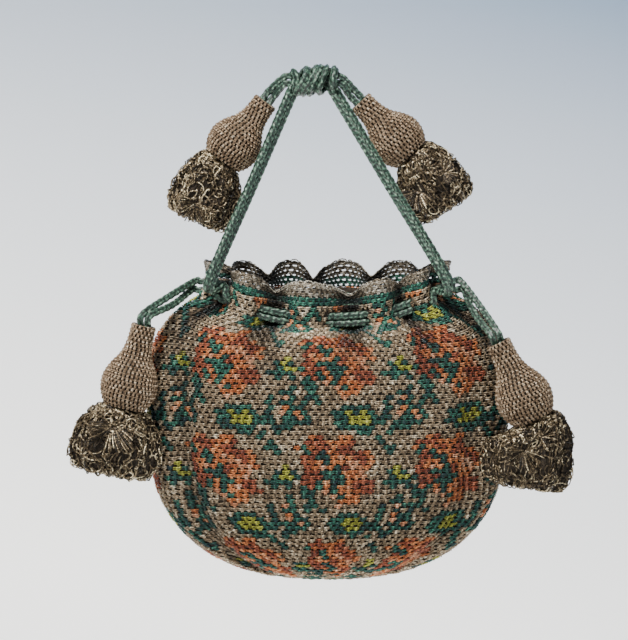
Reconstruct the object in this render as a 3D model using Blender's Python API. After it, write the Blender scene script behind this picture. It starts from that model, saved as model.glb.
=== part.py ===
"""A small crocheted drawstring pouch that hangs by the knot of its cords, with four tassels.

Metres, +Z up, +X to the viewer's right, the viewer on the -Y side. The origin is the place under
the knot where a finger or a hook carries the pouch.
"""

import math
from collections import namedtuple

import bmesh
import bpy
from mathutils import Matrix, Vector

# What neighbouring pieces keep between them
GAP = 0.0003

# The crocheted bag
WALL = 0.0018
BAG_HALF_WIDTH = 0.0802
BAG_HALF_DEPTH = 0.031
RIM_DROP = 0.081
BELLY_BELOW_RIM = 0.0644
BASE_BELOW_BELLY = 0.0711
BAG_SHIFT = 0.0065
BASE_ROUND = 2.5
UNDERSIDE_ROUND = 2.2

# The gathers of the mouth and the creases down the sides of the front
FOLD_DEPTH = 0.0060
MOUTH_SAG = 0.0117
BACK_LIFT = 0.55
CASING_LEVEL = 0.90
CREASE_ANGLE = math.radians(53)
CREASE_WIDTH = math.radians(7)
CREASE_LEFT = 0.0045
CREASE_RIGHT = 0.0028
CREASE_TOP = 0.62
CREASE_FADE = 0.3

# The lace edging on the rim
EDGING_WALL = 0.0012
SCALLOP_CREST = 0.0102
SCALLOP_SIDE_SHARE = 0.5
SCALLOP_VALLEY = 0.0024
SCALLOP_FLARE = 0.15
EDGING_STANDOFF = 2.5 * GAP
EDGING_ROWS = 5
EDGING_COLUMNS = 6
EDGING_HOLES = ((1, 1), (3, 2))

# The cords and their knot
CORD = 0.0030
CORD_PITCH = CORD + GAP
KNOT_HALF_LENGTH = 0.0112
KNOT_RADIUS = 0.0074
KNOT_SIDES = 14
KNOT_ROWS = 10
KNOT_WRAPS = 4
WRAP_GROOVE = 0.0009
SHOULDER_LEFT = math.radians(-68.5)
SHOULDER_RIGHT = math.radians(73)
SHOULDER_MERGE = math.radians(19)
SLOT_EASE = 0.0042
SLOT_REACH = 1.3 * SHOULDER_MERGE
SLOT_CLEARANCE = 0.0012
SLOT_BEVEL = ((0.4, 1), (1, 0.6))
HANDLE_SPREAD = 0.0084
HANDLE_RISE = 0.0045
HANDLE_START = 0.7 * CORD
FOOT_OUTWARD = 0.0047
FOOT_FRONT_LEFT = 0.0129
FOOT_FRONT_RIGHT = 0.0150

# Where a strand turns in over the rim's outside and where it is inside, as shares of the merge
TURN_OVER = 0.3
TURN_INSIDE = 0.7
OVER_FRONT = 1.6 * CORD_PITCH
OVER_LIFT = 1.25 * CORD_PITCH
INSIDE_OUT = 1.3 * CORD_PITCH
RING_STEPS = 60
DRAWSTRING_SPACING = 2.05 * CORD
TASSEL_CORD_SPACING = 2 * CORD
KNOT_END_SPACING = 1.5 * CORD
SOCKET_APPROACH = 1.6 * CORD

# The tassels
NECK_RADIUS = 0.0052
LOWER_CAP_RADIUS = 0.0125
SOCKET_RADIUS = CORD + 3 * GAP
SOCKET_DEPTH = 0.004
UPPER_CAP_RADIUS = 0.0120
UPPER_CAP_LENGTH = 0.033
UPPER_SKIRT_LENGTH = 0.028
UPPER_SKIRT_WIDTH = 0.0132
UPPER_LINK = Vector((0.0100, 0.0030, -0.0095))
UPPER_SPREAD = math.radians(13)
UPPER_LEFT_DROOP = math.radians(12)
UPPER_RIGHT_DROOP = math.radians(10)
LOWER_CAP_LENGTH = 0.038
LOWER_SKIRT_LENGTH = 0.029
LOWER_SKIRT_WIDTH = 0.0174
LOWER_CORD_RISE = 0.12
LOWER_CORD_STANDOFF = 4 * GAP
LOWER_CORD_PITCH = CORD_PITCH + 2 * GAP
LOWER_CORD_APART = CORD_PITCH / 2 + 3 * GAP
SKIRT_DEPTH = 0.0125
SKIRT_LOBES = 6
LOBE_SWELL = 0.14

BELLY_Z = -RIM_DROP - BELLY_BELOW_RIM

# Sections of the bag from its belly up to its rim. Height, width and depth are shares of the
# belly's sizes, fold and sag of the mouth's, and square is the exponent of the plan's oval.
Section = namedtuple("Section", "level height width depth fold square sag")
SECTIONS = (
    Section(0.00, 0.000, 1.000, 1.00, 0.00, 2.00, 0.00),
    Section(0.25, 0.280, 1.000, 0.98, 0.08, 2.00, 0.04),
    Section(0.50, 0.542, 0.945, 0.89, 0.38, 2.05, 0.25),
    Section(0.66, 0.700, 0.845, 0.75, 0.75, 2.20, 0.60),
    Section(0.77, 0.800, 0.738, 0.59, 0.98, 2.35, 0.90),
    Section(0.83, 0.850, 0.672, 0.50, 1.04, 2.50, 1.00),
    Section(0.90, 0.905, 0.634, 0.47, 1.06, 2.50, 1.02),
    Section(1.00, 1.000, 0.618, 0.50, 1.06, 2.50, 1.00),
)

# Ridges of the gathered mouth, in degrees from the front's middle towards +X, and how deep the
# gather is there as a share of the deepest.
Fold = namedtuple("Fold", "angle depth")
FOLDS = (
    Fold(-97, 0.80),
    Fold(-40, 0.95),
    Fold(-7, 1.00),
    Fold(23, 0.90),
    Fold(50, 0.72),
    Fold(96, 0.80),
    Fold(146, 0.90),
    Fold(175, 1.00),
    Fold(194, 1.00),
    Fold(224, 0.85),
)
COLUMNS_PER_FOLD = 5
BAG_LEVELS = (-0.93, -0.78, -0.56, -0.27, 0.04, 0.28, 0.48, 0.62, 0.72, 0.78, 0.83, 0.9, 1.0)

# The turned outline of a tassel's cap: shares of its length down from the neck, and of the way
# from the neck's radius out to the bulb's.
Turn = namedtuple("Turn", "down out")
CAP_OUTLINE = (
    Turn(0.00, 0.00),
    Turn(0.22, 0.05),
    Turn(0.38, 0.27),
    Turn(0.52, 0.70),
    Turn(0.66, 0.98),
    Turn(0.80, 0.97),
    Turn(0.92, 0.75),
    Turn(1.00, 0.48),
)
CAP_SIDES = 14

# The ruffled skirt under a cap: shares of its length, its width and its lobes' swell. Its last
# rows turn up inside the open end.
Ruffle = namedtuple("Ruffle", "down out swell")
SKIRT_OUTLINE = (
    Ruffle(0.00, 0.48, 0.0),
    Ruffle(0.14, 0.74, 0.3),
    Ruffle(0.42, 0.96, 0.8),
    Ruffle(0.76, 1.00, 1.0),
    Ruffle(1.00, 0.78, 1.3),
    Ruffle(0.90, 0.44, 0.8),
)
SKIRT_HOLLOW = 0.78
SKIRT_BEND = 0.42
SKIRT_COLUMNS = 24

# The lower tassels, one at each shoulder. The neck's place is measured from the shoulder ridge's
# top, and the leans are degrees out from straight down, of the cap and of the skirt.
Hang = namedtuple("Hang", "name ridge side reach front drop cap_lean skirt_lean")
LOWER_TASSELS = (
    Hang("lower_left", -97, -1, 0.0266, 0.0208, 0.0140, 14, 12),
    Hang("lower_right", 96, 1, 0.0205, 0.0257, 0.0212, 25, -9),
)

TAUPE = (0.33, 0.26, 0.19)
SILK_GREEN = (0.10, 0.30, 0.22)
TARNISHED = (0.09, 0.08, 0.06)


def clear_scene():
    for thing in list(bpy.data.objects):
        bpy.data.objects.remove(thing)


def finish(name, colour, roughness, metallic):
    made = bpy.data.materials.new(name)
    made.use_nodes = True
    shader = made.node_tree.nodes["Principled BSDF"]
    shader.inputs["Base Color"].default_value = (*colour, 1)
    shader.inputs["Roughness"].default_value = roughness
    shader.inputs["Metallic"].default_value = metallic
    return made


def at_level(name, level):
    """One column of the section table at any level, on a smooth curve through its rows."""
    last = len(SECTIONS) - 1
    i = max(k for k in range(last) if SECTIONS[k].level <= level)

    def slope(k):
        a, b = SECTIONS[max(k - 1, 0)], SECTIONS[min(k + 1, last)]
        return (getattr(b, name) - getattr(a, name)) / (b.level - a.level)

    a, b = SECTIONS[i], SECTIONS[i + 1]
    span = b.level - a.level
    t = (level - a.level) / span
    start, end = getattr(a, name), getattr(b, name)
    return (
        start * (2 * t**3 - 3 * t**2 + 1)
        + slope(i) * span * (t**3 - 2 * t**2 + t)
        + end * (3 * t**2 - 2 * t**3)
        + slope(i + 1) * span * (t**3 - t**2)
    )


def fold_spans():
    """Each gather as its ridge, the next ridge round, and their angles in radians."""
    spans = []
    for k, fold in enumerate(FOLDS):
        following = FOLDS[(k + 1) % len(FOLDS)]
        end = following.angle + (360 if k + 1 == len(FOLDS) else 0)
        spans.append((fold, following, math.radians(fold.angle), math.radians(end)))
    return spans


def wave(angle):
    """1 on a gather's ridge, -1 in the valley between two, times how deep that gather is."""
    spans = fold_spans()
    first = spans[0][2]
    angle = first + (angle - first) % (2 * math.pi)
    for fold, following, start, end in spans:
        if angle <= end:
            t = (angle - start) / (end - start)
            depth = fold.depth + (following.depth - fold.depth) * t
            return depth * math.cos(2 * math.pi * t)
    return FOLDS[0].depth


def crease(angle, level):
    """How far the front is drawn in along the crease inside each side."""
    angle = (angle + math.pi) % (2 * math.pi) - math.pi
    if abs(angle) > math.pi / 2:
        return 0.0
    depth = CREASE_LEFT if angle < 0 else CREASE_RIGHT
    reach = min(1, max(0, (CREASE_TOP - level) / CREASE_FADE), max(0, (1 + level) / CREASE_FADE))
    return depth * reach * math.exp(-(((abs(angle) - CREASE_ANGLE) / CREASE_WIDTH) ** 2))


def signed_power(value, power):
    return math.copysign(abs(value) ** power, value)


def outward(angle, a, b, square):
    """The level direction straight out of an oval with half-axes a and b."""
    across, along = math.sin(angle), -math.cos(angle)
    return Vector((signed_power(across, 2 - 2 / square) / max(a, 1e-6),
                   signed_power(along, 2 - 2 / square) / max(b, 1e-6), 0)).normalized()


def bag_point(angle, level, folded=True):
    """A point of the middle of the bag's wall. Level runs from -1 at the base, through 0 at the
    belly, to 1 at the rim, and angle from the front's middle towards +X."""
    if level < 0:
        turn = -level * math.pi / 2
        drop = math.sin(turn) ** (2 / BASE_ROUND)
        width = math.cos(turn) ** (2 / BASE_ROUND)
        depth = max(0.0, 1 - drop**UNDERSIDE_ROUND) ** (1 / UNDERSIDE_ROUND)
        height, fold, square, sag = -BASE_BELOW_BELLY * drop, 0.0, 2.0, 0.0
    else:
        width, depth = at_level("width", level), at_level("depth", level)
        height = BELLY_BELOW_RIM * at_level("height", level)
        fold, square, sag = (at_level(n, level) for n in ("fold", "square", "sag"))
    a, b = BAG_HALF_WIDTH * width, BAG_HALF_DEPTH * depth
    across, along = math.sin(angle), -math.cos(angle)
    x, y = a * signed_power(across, 2 / square), b * signed_power(along, 2 / square)
    push = (FOLD_DEPTH * fold * wave(angle) if folded else 0.0) - crease(angle, level)
    droop = MOUTH_SAG * sag * along**2 * (1 - BACK_LIFT * (1 + along) / 2)
    return Vector((BAG_SHIFT + x, y, BELLY_Z + height - droop)) + push * outward(angle, a, b, square)


def bag_normal(angle, level):
    step = 0.002
    high, low = min(level + step, 1.0), max(level - step, -1 + step)
    across = bag_point(angle + step, level) - bag_point(angle - step, level)
    up = bag_point(angle, high) - bag_point(angle, low)
    return across.cross(up).normalized()


def column_angles(per_fold=COLUMNS_PER_FOLD):
    return [start + (end - start) * i / per_fold
            for _, _, start, end in fold_spans() for i in range(per_fold)]


def skin(bm, rings, cyclic=False):
    """Faces between each ring of vertices and the next."""
    pairs = list(zip(rings, rings[1:]))
    if cyclic:
        pairs.append((rings[-1], rings[0]))
    for low, high in pairs:
        for i in range(len(low)):
            j = (i + 1) % len(low)
            bm.faces.new((low[i], low[j], high[j], high[i]))


def close_ring(bm, ring, point):
    centre = bm.verts.new(point)
    for i in range(len(ring)):
        bm.faces.new((centre, ring[i], ring[(i + 1) % len(ring)]))


def add_object(name, bm, material):
    bmesh.ops.recalc_face_normals(bm, faces=bm.faces)
    mesh = bpy.data.meshes.new(name)
    bm.to_mesh(mesh)
    bm.free()
    mesh.shade_smooth()
    mesh.set_sharp_from_angle(angle=math.radians(40))
    made = bpy.data.objects.new(name, mesh)
    bpy.context.scene.collection.objects.link(made)
    if material:
        mesh.materials.append(material)
    else:
        made.hide_render = True
        made.display_type = "WIRE"
    return made


def combine(target, other, operation):
    modifier = target.modifiers.new(other.name, "BOOLEAN")
    modifier.operation = operation
    modifier.object = other


def casing_point(angle, lift=0.0, out=0.0):
    """A point of the drawstrings' line round the mouth, raised and moved outwards."""
    square = at_level("square", CASING_LEVEL)
    a = BAG_HALF_WIDTH * at_level("width", CASING_LEVEL)
    b = BAG_HALF_DEPTH * at_level("depth", CASING_LEVEL)
    place = bag_point(angle, CASING_LEVEL, folded=False)
    return place + Vector((0, 0, lift)) + out * outward(angle, a, b, square)


def shoulder_nearness(angle):
    """1 where a drawstring's ends leave the casing, fading to 0 beside it."""
    apart = [abs((angle - shoulder + math.pi) % (2 * math.pi) - math.pi)
             for shoulder in (SHOULDER_LEFT, SHOULDER_RIGHT)]
    return math.exp(-((min(apart) / SLOT_REACH) ** 2))


def make_bag(material):
    """The bag's two skins, joined at the rim, with slots cut where the drawstrings pass."""
    bm = bmesh.new()
    angles = column_angles()
    outer, inner = (
        [[bm.verts.new(bag_point(a, level) + side * WALL / 2 * bag_normal(a, level)) for a in angles]
         for level in BAG_LEVELS]
        for side in (1, -1)
    )
    skin(bm, outer + inner[::-1])
    base = bag_point(0, -1)
    close_ring(bm, outer[0], base - Vector((0, 0, WALL / 2)))
    close_ring(bm, inner[0], base + Vector((0, 0, WALL / 2)))
    bag = add_object("bag", bm, material)

    bm = bmesh.new()
    half_height = CORD_PITCH / 2 + CORD / 2 + SLOT_CLEARANCE / 2
    half_width = CORD / 2 + SLOT_CLEARANCE
    corners = [(side * half_width * wide, end * half_height * high)
               for side, end, order in ((1, -1, 1), (1, 1, -1), (-1, 1, 1), (-1, -1, -1))
               for wide, high in SLOT_BEVEL[::order]]
    steps = 8 * len(FOLDS)
    rings = []
    for i in range(steps):
        angle = 2 * math.pi * i / steps
        ease = SLOT_EASE * shoulder_nearness(angle)
        rings.append([bm.verts.new(casing_point(angle, lift + (ease / 2 if lift > 0 else 0),
                                                out + (ease if out > 0 else 0)))
                      for out, lift in corners])
    skin(bm, rings, cyclic=True)
    combine(bag, add_object("casing_slot", bm, None), "DIFFERENCE")
    return bag


def edging_point(angle, share):
    """A point of the lace edging: share 0 is just over the rim, 1 the scalloped top. The scallops
    are lower at the mouth's two ends."""
    crest = math.sqrt(max((1 + wave(angle)) / 2, 0))
    crest *= SCALLOP_SIDE_SHARE + (1 - SCALLOP_SIDE_SHARE) * math.cos(angle) ** 2
    height = SCALLOP_VALLEY + (SCALLOP_CREST - SCALLOP_VALLEY) * crest
    lift = Vector((0, 0, EDGING_STANDOFF + height * share))
    return bag_point(angle, 1.0) + lift + bag_normal(angle, 1.0) * (SCALLOP_FLARE * height * share**2)


def make_edging(material):
    """A net of lace with one scallop on each gather, and a hole through every other mesh."""
    angles = column_angles(EDGING_COLUMNS)
    bm = bmesh.new()
    sheet = [[bm.verts.new(edging_point(a, row / EDGING_ROWS)) for a in angles]
             for row in range(EDGING_ROWS + 1)]
    skin(bm, sheet)
    bm.faces.ensure_lookup_table()
    holes = [bm.faces[row * len(angles) + i] for row, first in EDGING_HOLES
             for i in range(len(angles)) if i % EDGING_COLUMNS in (first, first + 2)]
    bmesh.ops.delete(bm, geom=holes, context="FACES_ONLY")
    edging = add_object("scallop_edging", bm, material)
    wall = edging.modifiers.new("lace wall", "SOLIDIFY")
    wall.thickness = EDGING_WALL
    wall.offset = 0
    return edging


def smooth_route(points, spacing):
    """Points about evenly spaced along a smooth curve through the given ones."""
    dense = []
    ends = [2 * points[0] - points[1]] + list(points) + [2 * points[-1] - points[-2]]
    for a, b, c, d in zip(ends, ends[1:], ends[2:], ends[3:]):
        for i in range(16):
            t = i / 16
            dense.append(0.5 * (2 * b + (c - a) * t + (2 * a - 5 * b + 4 * c - d) * t**2
                                + (3 * b - a - 3 * c + d) * t**3))
    dense.append(points[-1].copy())
    steps = [0.0]
    for a, b in zip(dense, dense[1:]):
        steps.append(steps[-1] + (b - a).length)
    count = max(4, round(steps[-1] / spacing))
    route, k = [], 0
    for i in range(count + 1):
        goal = steps[-1] * i / count
        while k < len(dense) - 2 and steps[k + 1] < goal:
            k += 1
        share = (goal - steps[k]) / max(steps[k + 1] - steps[k], 1e-9)
        route.append(dense[k].lerp(dense[k + 1], share))
    return route


def add_cord(name, points, material, spacing):
    route = smooth_route(points, spacing)
    curve = bpy.data.curves.new(name, "CURVE")
    curve.dimensions = "3D"
    line = curve.splines.new("POLY")
    line.points.add(len(route) - 1)
    for point, place in zip(line.points, route):
        point.co = (*place, 1)
    curve.bevel_depth = CORD / 2
    curve.bevel_resolution = 2
    curve.use_fill_caps = True
    curve.materials.append(material)
    made = bpy.data.objects.new(name, curve)
    bpy.context.scene.collection.objects.link(made)
    return made


def closed_mesh(cord):
    """Swaps a cord's curve for a hidden mesh of it, closed at its caps, for a Boolean to read."""
    mesh = bpy.data.meshes.new_from_object(cord)
    bm = bmesh.new()
    bm.from_mesh(mesh)
    bmesh.ops.remove_doubles(bm, verts=bm.verts, dist=GAP / 10)
    name = cord.name + "_solid"
    bpy.data.objects.remove(cord)
    return add_object(name, bm, None)


def beside(direction):
    """The level-faced direction in the cords' plane at right angles to a strand."""
    return Vector((-direction.z, 0, direction.x)).normalized()


def knot_centre():
    return Vector((0, 0, KNOT_RADIUS))


def handle_foot(side):
    """In front of the ruffle at a shoulder, where a pair of strands comes down past the rim."""
    shoulder = SHOULDER_LEFT if side < 0 else SHOULDER_RIGHT
    front = FOOT_FRONT_LEFT if side < 0 else FOOT_FRONT_RIGHT
    rim = BELLY_BELOW_RIM * (1 - at_level("height", CASING_LEVEL))
    return casing_point(shoulder, lift=rim) + Vector((side * FOOT_OUTWARD, -front, 0))


def handle_top(side):
    """The place in the knot that a pair of strands runs out from."""
    return Vector((side * HANDLE_SPREAD, 0, HANDLE_RISE))


def handle_direction(side):
    return (handle_foot(side) - handle_top(side)).normalized()


def knot_exit(start, direction):
    """The place on the knot's outside where a line from inside it comes out."""
    half = Vector((KNOT_HALF_LENGTH, KNOT_RADIUS, KNOT_RADIUS))
    offset = start - knot_centre()
    p = sum(d * d / h**2 for d, h in zip(direction, half))
    q = sum(o * d / h**2 for o, d, h in zip(offset, direction, half))
    r = sum(o * o / h**2 for o, h in zip(offset, half)) - 1
    travel = (-q + math.sqrt(q * q - p * r)) / p
    return start + direction * travel


def drawstring_points(side, lift):
    """Down from the knot, once round the mouth through the gathers, and up again beside itself."""
    shoulder = SHOULDER_LEFT if side < 0 else SHOULDER_RIGHT
    down = handle_direction(side)
    foot = handle_foot(side)
    halves = []
    for way in (1, -1):
        apart = way * CORD_PITCH / 2 * beside(down)
        top = knot_exit(handle_top(side) + apart, down) + down * HANDLE_START
        merge = way * SHOULDER_MERGE
        over = casing_point(shoulder + merge * TURN_OVER, lift + OVER_LIFT)
        over -= Vector((0, OVER_FRONT, 0))
        inside = casing_point(shoulder + merge * TURN_INSIDE, lift, INSIDE_OUT)
        halves.append([top, top.lerp(foot + apart, 0.5), foot + apart, over, inside])
    turn = 2 * math.pi - 2 * SHOULDER_MERGE
    ring = [casing_point(shoulder + SHOULDER_MERGE + turn * i / RING_STEPS, lift)
            for i in range(RING_STEPS + 1)]
    return halves[0] + ring + halves[1][::-1]


def make_knot(material):
    """The knot's lump of slanting wraps, with the two cord ends that carry each upper tassel."""
    bm = bmesh.new()
    half = Vector((KNOT_HALF_LENGTH, KNOT_RADIUS, KNOT_RADIUS))
    rings = []
    for row in range(1, KNOT_ROWS):
        polar = math.pi * row / KNOT_ROWS
        ring = []
        for side in range(KNOT_SIDES):
            turn = 2 * math.pi * side / KNOT_SIDES
            way = Vector((-math.cos(polar), math.sin(polar) * math.cos(turn),
                          math.sin(polar) * math.sin(turn)))
            groove = WRAP_GROOVE * math.sin(polar) * (1 + math.cos(2 * KNOT_WRAPS * polar + turn)) / 2
            swollen = Vector(w * h for w, h in zip(way, half))
            ring.append(bm.verts.new(knot_centre() + swollen - groove * way))
        rings.append(ring)
    skin(bm, rings)
    close_ring(bm, rings[0], knot_centre() - Vector((KNOT_HALF_LENGTH, 0, 0)))
    close_ring(bm, rings[-1], knot_centre() + Vector((KNOT_HALF_LENGTH, 0, 0)))
    return add_object("knot", bm, material)


def tassel_axes(origin, direction):
    """A frame with its z along the tassel, y kept towards the back."""
    z = direction.normalized()
    y = (Vector((0, 1, 0)) - z * z.y).normalized()
    return Matrix.Translation(origin) @ Matrix((y.cross(z), y, z)).transposed().to_4x4()


def make_cap(name, neck, direction, length, bulb, material):
    """A pear of crochet, turned about the tassel's axis, with a socket for the two cords."""
    bm = bmesh.new()
    place = tassel_axes(neck, direction)
    profile = [(SOCKET_RADIUS, SOCKET_DEPTH), (SOCKET_RADIUS, 0.0)]
    profile += [(NECK_RADIUS + (bulb - NECK_RADIUS) * t.out, length * t.down) for t in CAP_OUTLINE]
    rings = [[bm.verts.new(place @ Vector((radius * math.cos(2 * math.pi * s / CAP_SIDES),
                                           radius * math.sin(2 * math.pi * s / CAP_SIDES), down)))
              for s in range(CAP_SIDES)] for radius, down in profile]
    skin(bm, rings)
    close_ring(bm, rings[0], place @ Vector((0, 0, SOCKET_DEPTH)))
    close_ring(bm, rings[-1], place @ Vector((0, 0, length)))
    return add_object("tassel_cap_" + name, bm, material)


def make_skirt(name, top, cap_direction, hang_direction, length, width, material):
    """A ruffle of looped thread, fused into one fluted trumpet that is open below. It starts
    square to its cap and bends over to hang its own way."""
    bm = bmesh.new()
    rings = []
    for row in SKIRT_OUTLINE + (Ruffle(SKIRT_HOLLOW, 0, 0),):
        bent = min(1, row.down / SKIRT_BEND)
        place = tassel_axes(top, cap_direction.lerp(hang_direction, bent))
        if row.out == 0:
            centre = place @ Vector((0, 0, length * row.down))
            continue
        ring = []
        for s in range(SKIRT_COLUMNS):
            turn = 2 * math.pi * s / SKIRT_COLUMNS
            swell = 1 + LOBE_SWELL * row.swell * math.cos(SKIRT_LOBES * turn)
            ring.append(bm.verts.new(place @ Vector((width * row.out * swell * math.cos(turn),
                                                     SKIRT_DEPTH * row.out * swell * math.sin(turn),
                                                     length * row.down))))
        rings.append(ring)
    skin(bm, rings)
    close_ring(bm, rings[0], top)
    close_ring(bm, rings[-1], centre)
    return add_object("tassel_skirt_" + name, bm, material)


def tassel(name, neck, direction, hang_direction, cap, skirt, finishes):
    """A cap and the skirt under it, whose top meets the cap's end. Cap and skirt are a length and
    a radius each."""
    crochet, metal = finishes
    make_cap(name, neck, direction, *cap, crochet)
    make_skirt(name, neck + direction * (cap[0] + GAP), direction, hang_direction, *skirt, metal)


def socket_points(neck, direction, across):
    """The last points of a cord that runs into a cap's socket."""
    return [neck + across - direction * SOCKET_APPROACH, neck + across,
            neck + across + direction * (SOCKET_DEPTH - GAP)]


def lean_from_down(side, lean):
    """The direction that leans out from straight down towards a side."""
    return Vector((side * math.sin(lean), 0, -math.cos(lean)))


def make_upper_tassels(knot, finishes, silk):
    """Tassels on the cord ends that leave the knot just outside each pair of strands."""
    for name, side, droop in (("upper_left", -1, UPPER_LEFT_DROOP),
                              ("upper_right", 1, UPPER_RIGHT_DROOP)):
        down = handle_direction(side)
        lean = math.atan2(abs(down.x), -down.z) + UPPER_SPREAD
        direction = lean_from_down(side, lean)
        start = knot_centre() + Vector((side * KNOT_HALF_LENGTH, 0, 0))
        neck = start + Vector((side * UPPER_LINK.x, UPPER_LINK.y, UPPER_LINK.z))
        tassel(name, neck, direction, lean_from_down(side, lean - droop),
               (UPPER_CAP_LENGTH, UPPER_CAP_RADIUS), (UPPER_SKIRT_LENGTH, UPPER_SKIRT_WIDTH), finishes)
        for way in (1, -1):
            inside = start + Vector((-side * CORD, 0, side * way * CORD_PITCH / 2))
            points = [inside, inside + Vector((side * 1.5 * CORD, 0, 0))]
            points += socket_points(neck, direction, beside(direction) * (way * CORD_PITCH / 2))
            end = closed_mesh(add_cord("knot_end", points, silk, KNOT_END_SPACING))
            combine(knot, end, "UNION")


def make_lower_tassels(finishes, silk):
    """Tassels that hang over the bag's shoulders on short doubled cords."""
    for hang in LOWER_TASSELS:
        ridge = math.radians(hang.ridge)
        root = bag_point(ridge, CASING_LEVEL)
        out = (casing_point(ridge, out=1) - casing_point(ridge)).normalized()
        neck = root + Vector((hang.side * hang.reach, -hang.front, -hang.drop))
        direction = lean_from_down(hang.side, math.radians(hang.cap_lean))
        skirt = lean_from_down(hang.side, math.radians(hang.skirt_lean))
        tassel(hang.name, neck, direction, skirt, (LOWER_CAP_LENGTH, LOWER_CAP_RADIUS),
               (LOWER_SKIRT_LENGTH, LOWER_SKIRT_WIDTH), finishes)
        middle = (root + out * CORD + neck) / 2 + Vector((0, 0, LOWER_CORD_RISE * hang.reach))
        across = beside(neck - root) * LOWER_CORD_APART
        for number, way in (("1", 1), ("2", -1)):
            level = CASING_LEVEL + way * hang.side * CORD_PITCH / 2 / BELLY_BELOW_RIM
            start = bag_point(ridge, level) + out * (WALL / 2 + LOWER_CORD_STANDOFF)
            start.z = root.z + (0.5 + way * hang.side / 2) * LOWER_CORD_PITCH
            ends = socket_points(neck, direction, beside(direction) * (way * CORD_PITCH / 2))
            points = [start, start + out * CORD, middle + way * across] + ends
            add_cord("tassel_cord_" + hang.name + "_" + number, points, silk, TASSEL_CORD_SPACING)


clear_scene()
taupe = finish("taupe crochet", TAUPE, 0.7, 0.2)
green = finish("green silk cord", SILK_GREEN, 0.55, 0.0)
tarnished = finish("tarnished metal thread", TARNISHED, 0.5, 0.6)

make_bag(taupe)
make_edging(tarnished)
add_cord("drawstring_left", drawstring_points(-1, CORD_PITCH / 2), green, DRAWSTRING_SPACING)
add_cord("drawstring_right", drawstring_points(1, -CORD_PITCH / 2), green, DRAWSTRING_SPACING)
make_upper_tassels(make_knot(green), (taupe, tarnished), green)
make_lower_tassels((taupe, tarnished), green)
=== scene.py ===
"""A small crocheted drawstring pouch with four tassels, hanging by the knot of its cords.

Metres, +Z up, the viewer on the -Y side. The origin is under the knot, where a hook carries it.
"""

import math

import bmesh
import bpy
import numpy as np
from mathutils import Matrix, Vector


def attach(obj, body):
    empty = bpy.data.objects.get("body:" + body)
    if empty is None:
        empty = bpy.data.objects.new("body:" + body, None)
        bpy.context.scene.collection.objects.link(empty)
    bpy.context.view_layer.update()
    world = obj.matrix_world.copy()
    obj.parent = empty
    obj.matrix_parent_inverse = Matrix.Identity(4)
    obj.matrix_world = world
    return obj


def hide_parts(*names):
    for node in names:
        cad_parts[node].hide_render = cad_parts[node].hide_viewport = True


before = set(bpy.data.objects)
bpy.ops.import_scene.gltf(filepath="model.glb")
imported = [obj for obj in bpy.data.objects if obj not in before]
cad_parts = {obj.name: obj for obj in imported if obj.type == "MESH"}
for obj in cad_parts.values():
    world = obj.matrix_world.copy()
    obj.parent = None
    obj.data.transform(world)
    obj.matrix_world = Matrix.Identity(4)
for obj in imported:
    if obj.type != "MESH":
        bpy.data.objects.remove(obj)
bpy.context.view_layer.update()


# The room: a sweep of pale paper under and behind the hanging pouch, a strong soft box up at the
# left, weak ones at the right and under the back wall, and a long lens a little above the middle.
PIXEL = 0.00045
PHOTO_WIDTH = 628
AIM_ROW = 223
SENSOR_WIDTH = 36
LENS_DISTANCE = 2.4
LENS_RISE = math.radians(5)
PAPER_FLOOR = -0.42
PAPER_BACK = 0.75
PAPER_REACH = 1.6
PAPER_HEIGHT = 2.2
PAPER_BEND = 0.35
PAPER_PALE = -0.34
PAPER_BLUE = 0.08


def put(name, data):
    """A new object in the scene."""
    thing = bpy.data.objects.new(name, data)
    bpy.context.scene.collection.objects.link(thing)
    return thing


eye = bpy.data.cameras.new("long lens")
eye.sensor_fit = "HORIZONTAL"
eye.sensor_width = SENSOR_WIDTH
eye.lens = SENSOR_WIDTH * LENS_DISTANCE / (PHOTO_WIDTH * PIXEL)
eye.clip_end = 10
camera = put("long lens", eye)
aim = Vector((PIXEL, 0, -PIXEL * AIM_ROW))
camera.location = aim + LENS_DISTANCE * Vector((0, -math.cos(LENS_RISE), math.sin(LENS_RISE)))
camera.rotation_euler = (math.pi / 2 - LENS_RISE, 0, 0)
bpy.context.scene.camera = camera


def soft_box(name, place, size, power, colour, at=(0, 0, -0.1)):
    light = bpy.data.lights.new(name, "AREA")
    light.shape = "RECTANGLE"
    light.size, light.size_y = size
    light.energy = power
    light.color = colour
    lamp = put(name, light)
    lamp.location = place
    lamp.rotation_euler = (Vector(at) - Vector(place)).to_track_quat("-Z", "Y").to_euler()


soft_box("overhead soft box", (-0.35, -0.66, 0.92), (0.38, 0.34), 32, (1.0, 0.97, 0.93))
soft_box("side soft box", (0.9, -0.8, 0.25), (0.5, 0.5), 3, (0.95, 0.98, 1.0))
soft_box("backdrop soft box", (0, 0.25, -0.36), (1.2, 0.06), 4.0, (1.0, 0.99, 0.98), (0, 0.75, -0.24))

room = bpy.data.worlds.new("studio air")
room.use_nodes = True
room.node_tree.nodes["Background"].inputs["Color"].default_value = (0.80, 0.86, 0.94, 1)
room.node_tree.nodes["Background"].inputs["Strength"].default_value = 0.32
bpy.context.scene.world = room


def nodes_of(finish):
    finish.use_nodes = True
    return finish.node_tree, finish.node_tree.nodes["Principled BSDF"]


def feed(tree, node, inputs):
    """Gives each named input of a node its value, or a link to another node's output."""
    for socket, given in inputs.items():
        if isinstance(given, bpy.types.NodeSocket):
            tree.links.new(given, node.inputs[socket])
        else:
            node.inputs[socket].default_value = given


def add_node(tree, kind, inputs=None, **settings):
    node = tree.nodes.new("ShaderNode" + kind)
    for setting, value in settings.items():
        setattr(node, setting, value)
    feed(tree, node, inputs or {})
    return node


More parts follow.
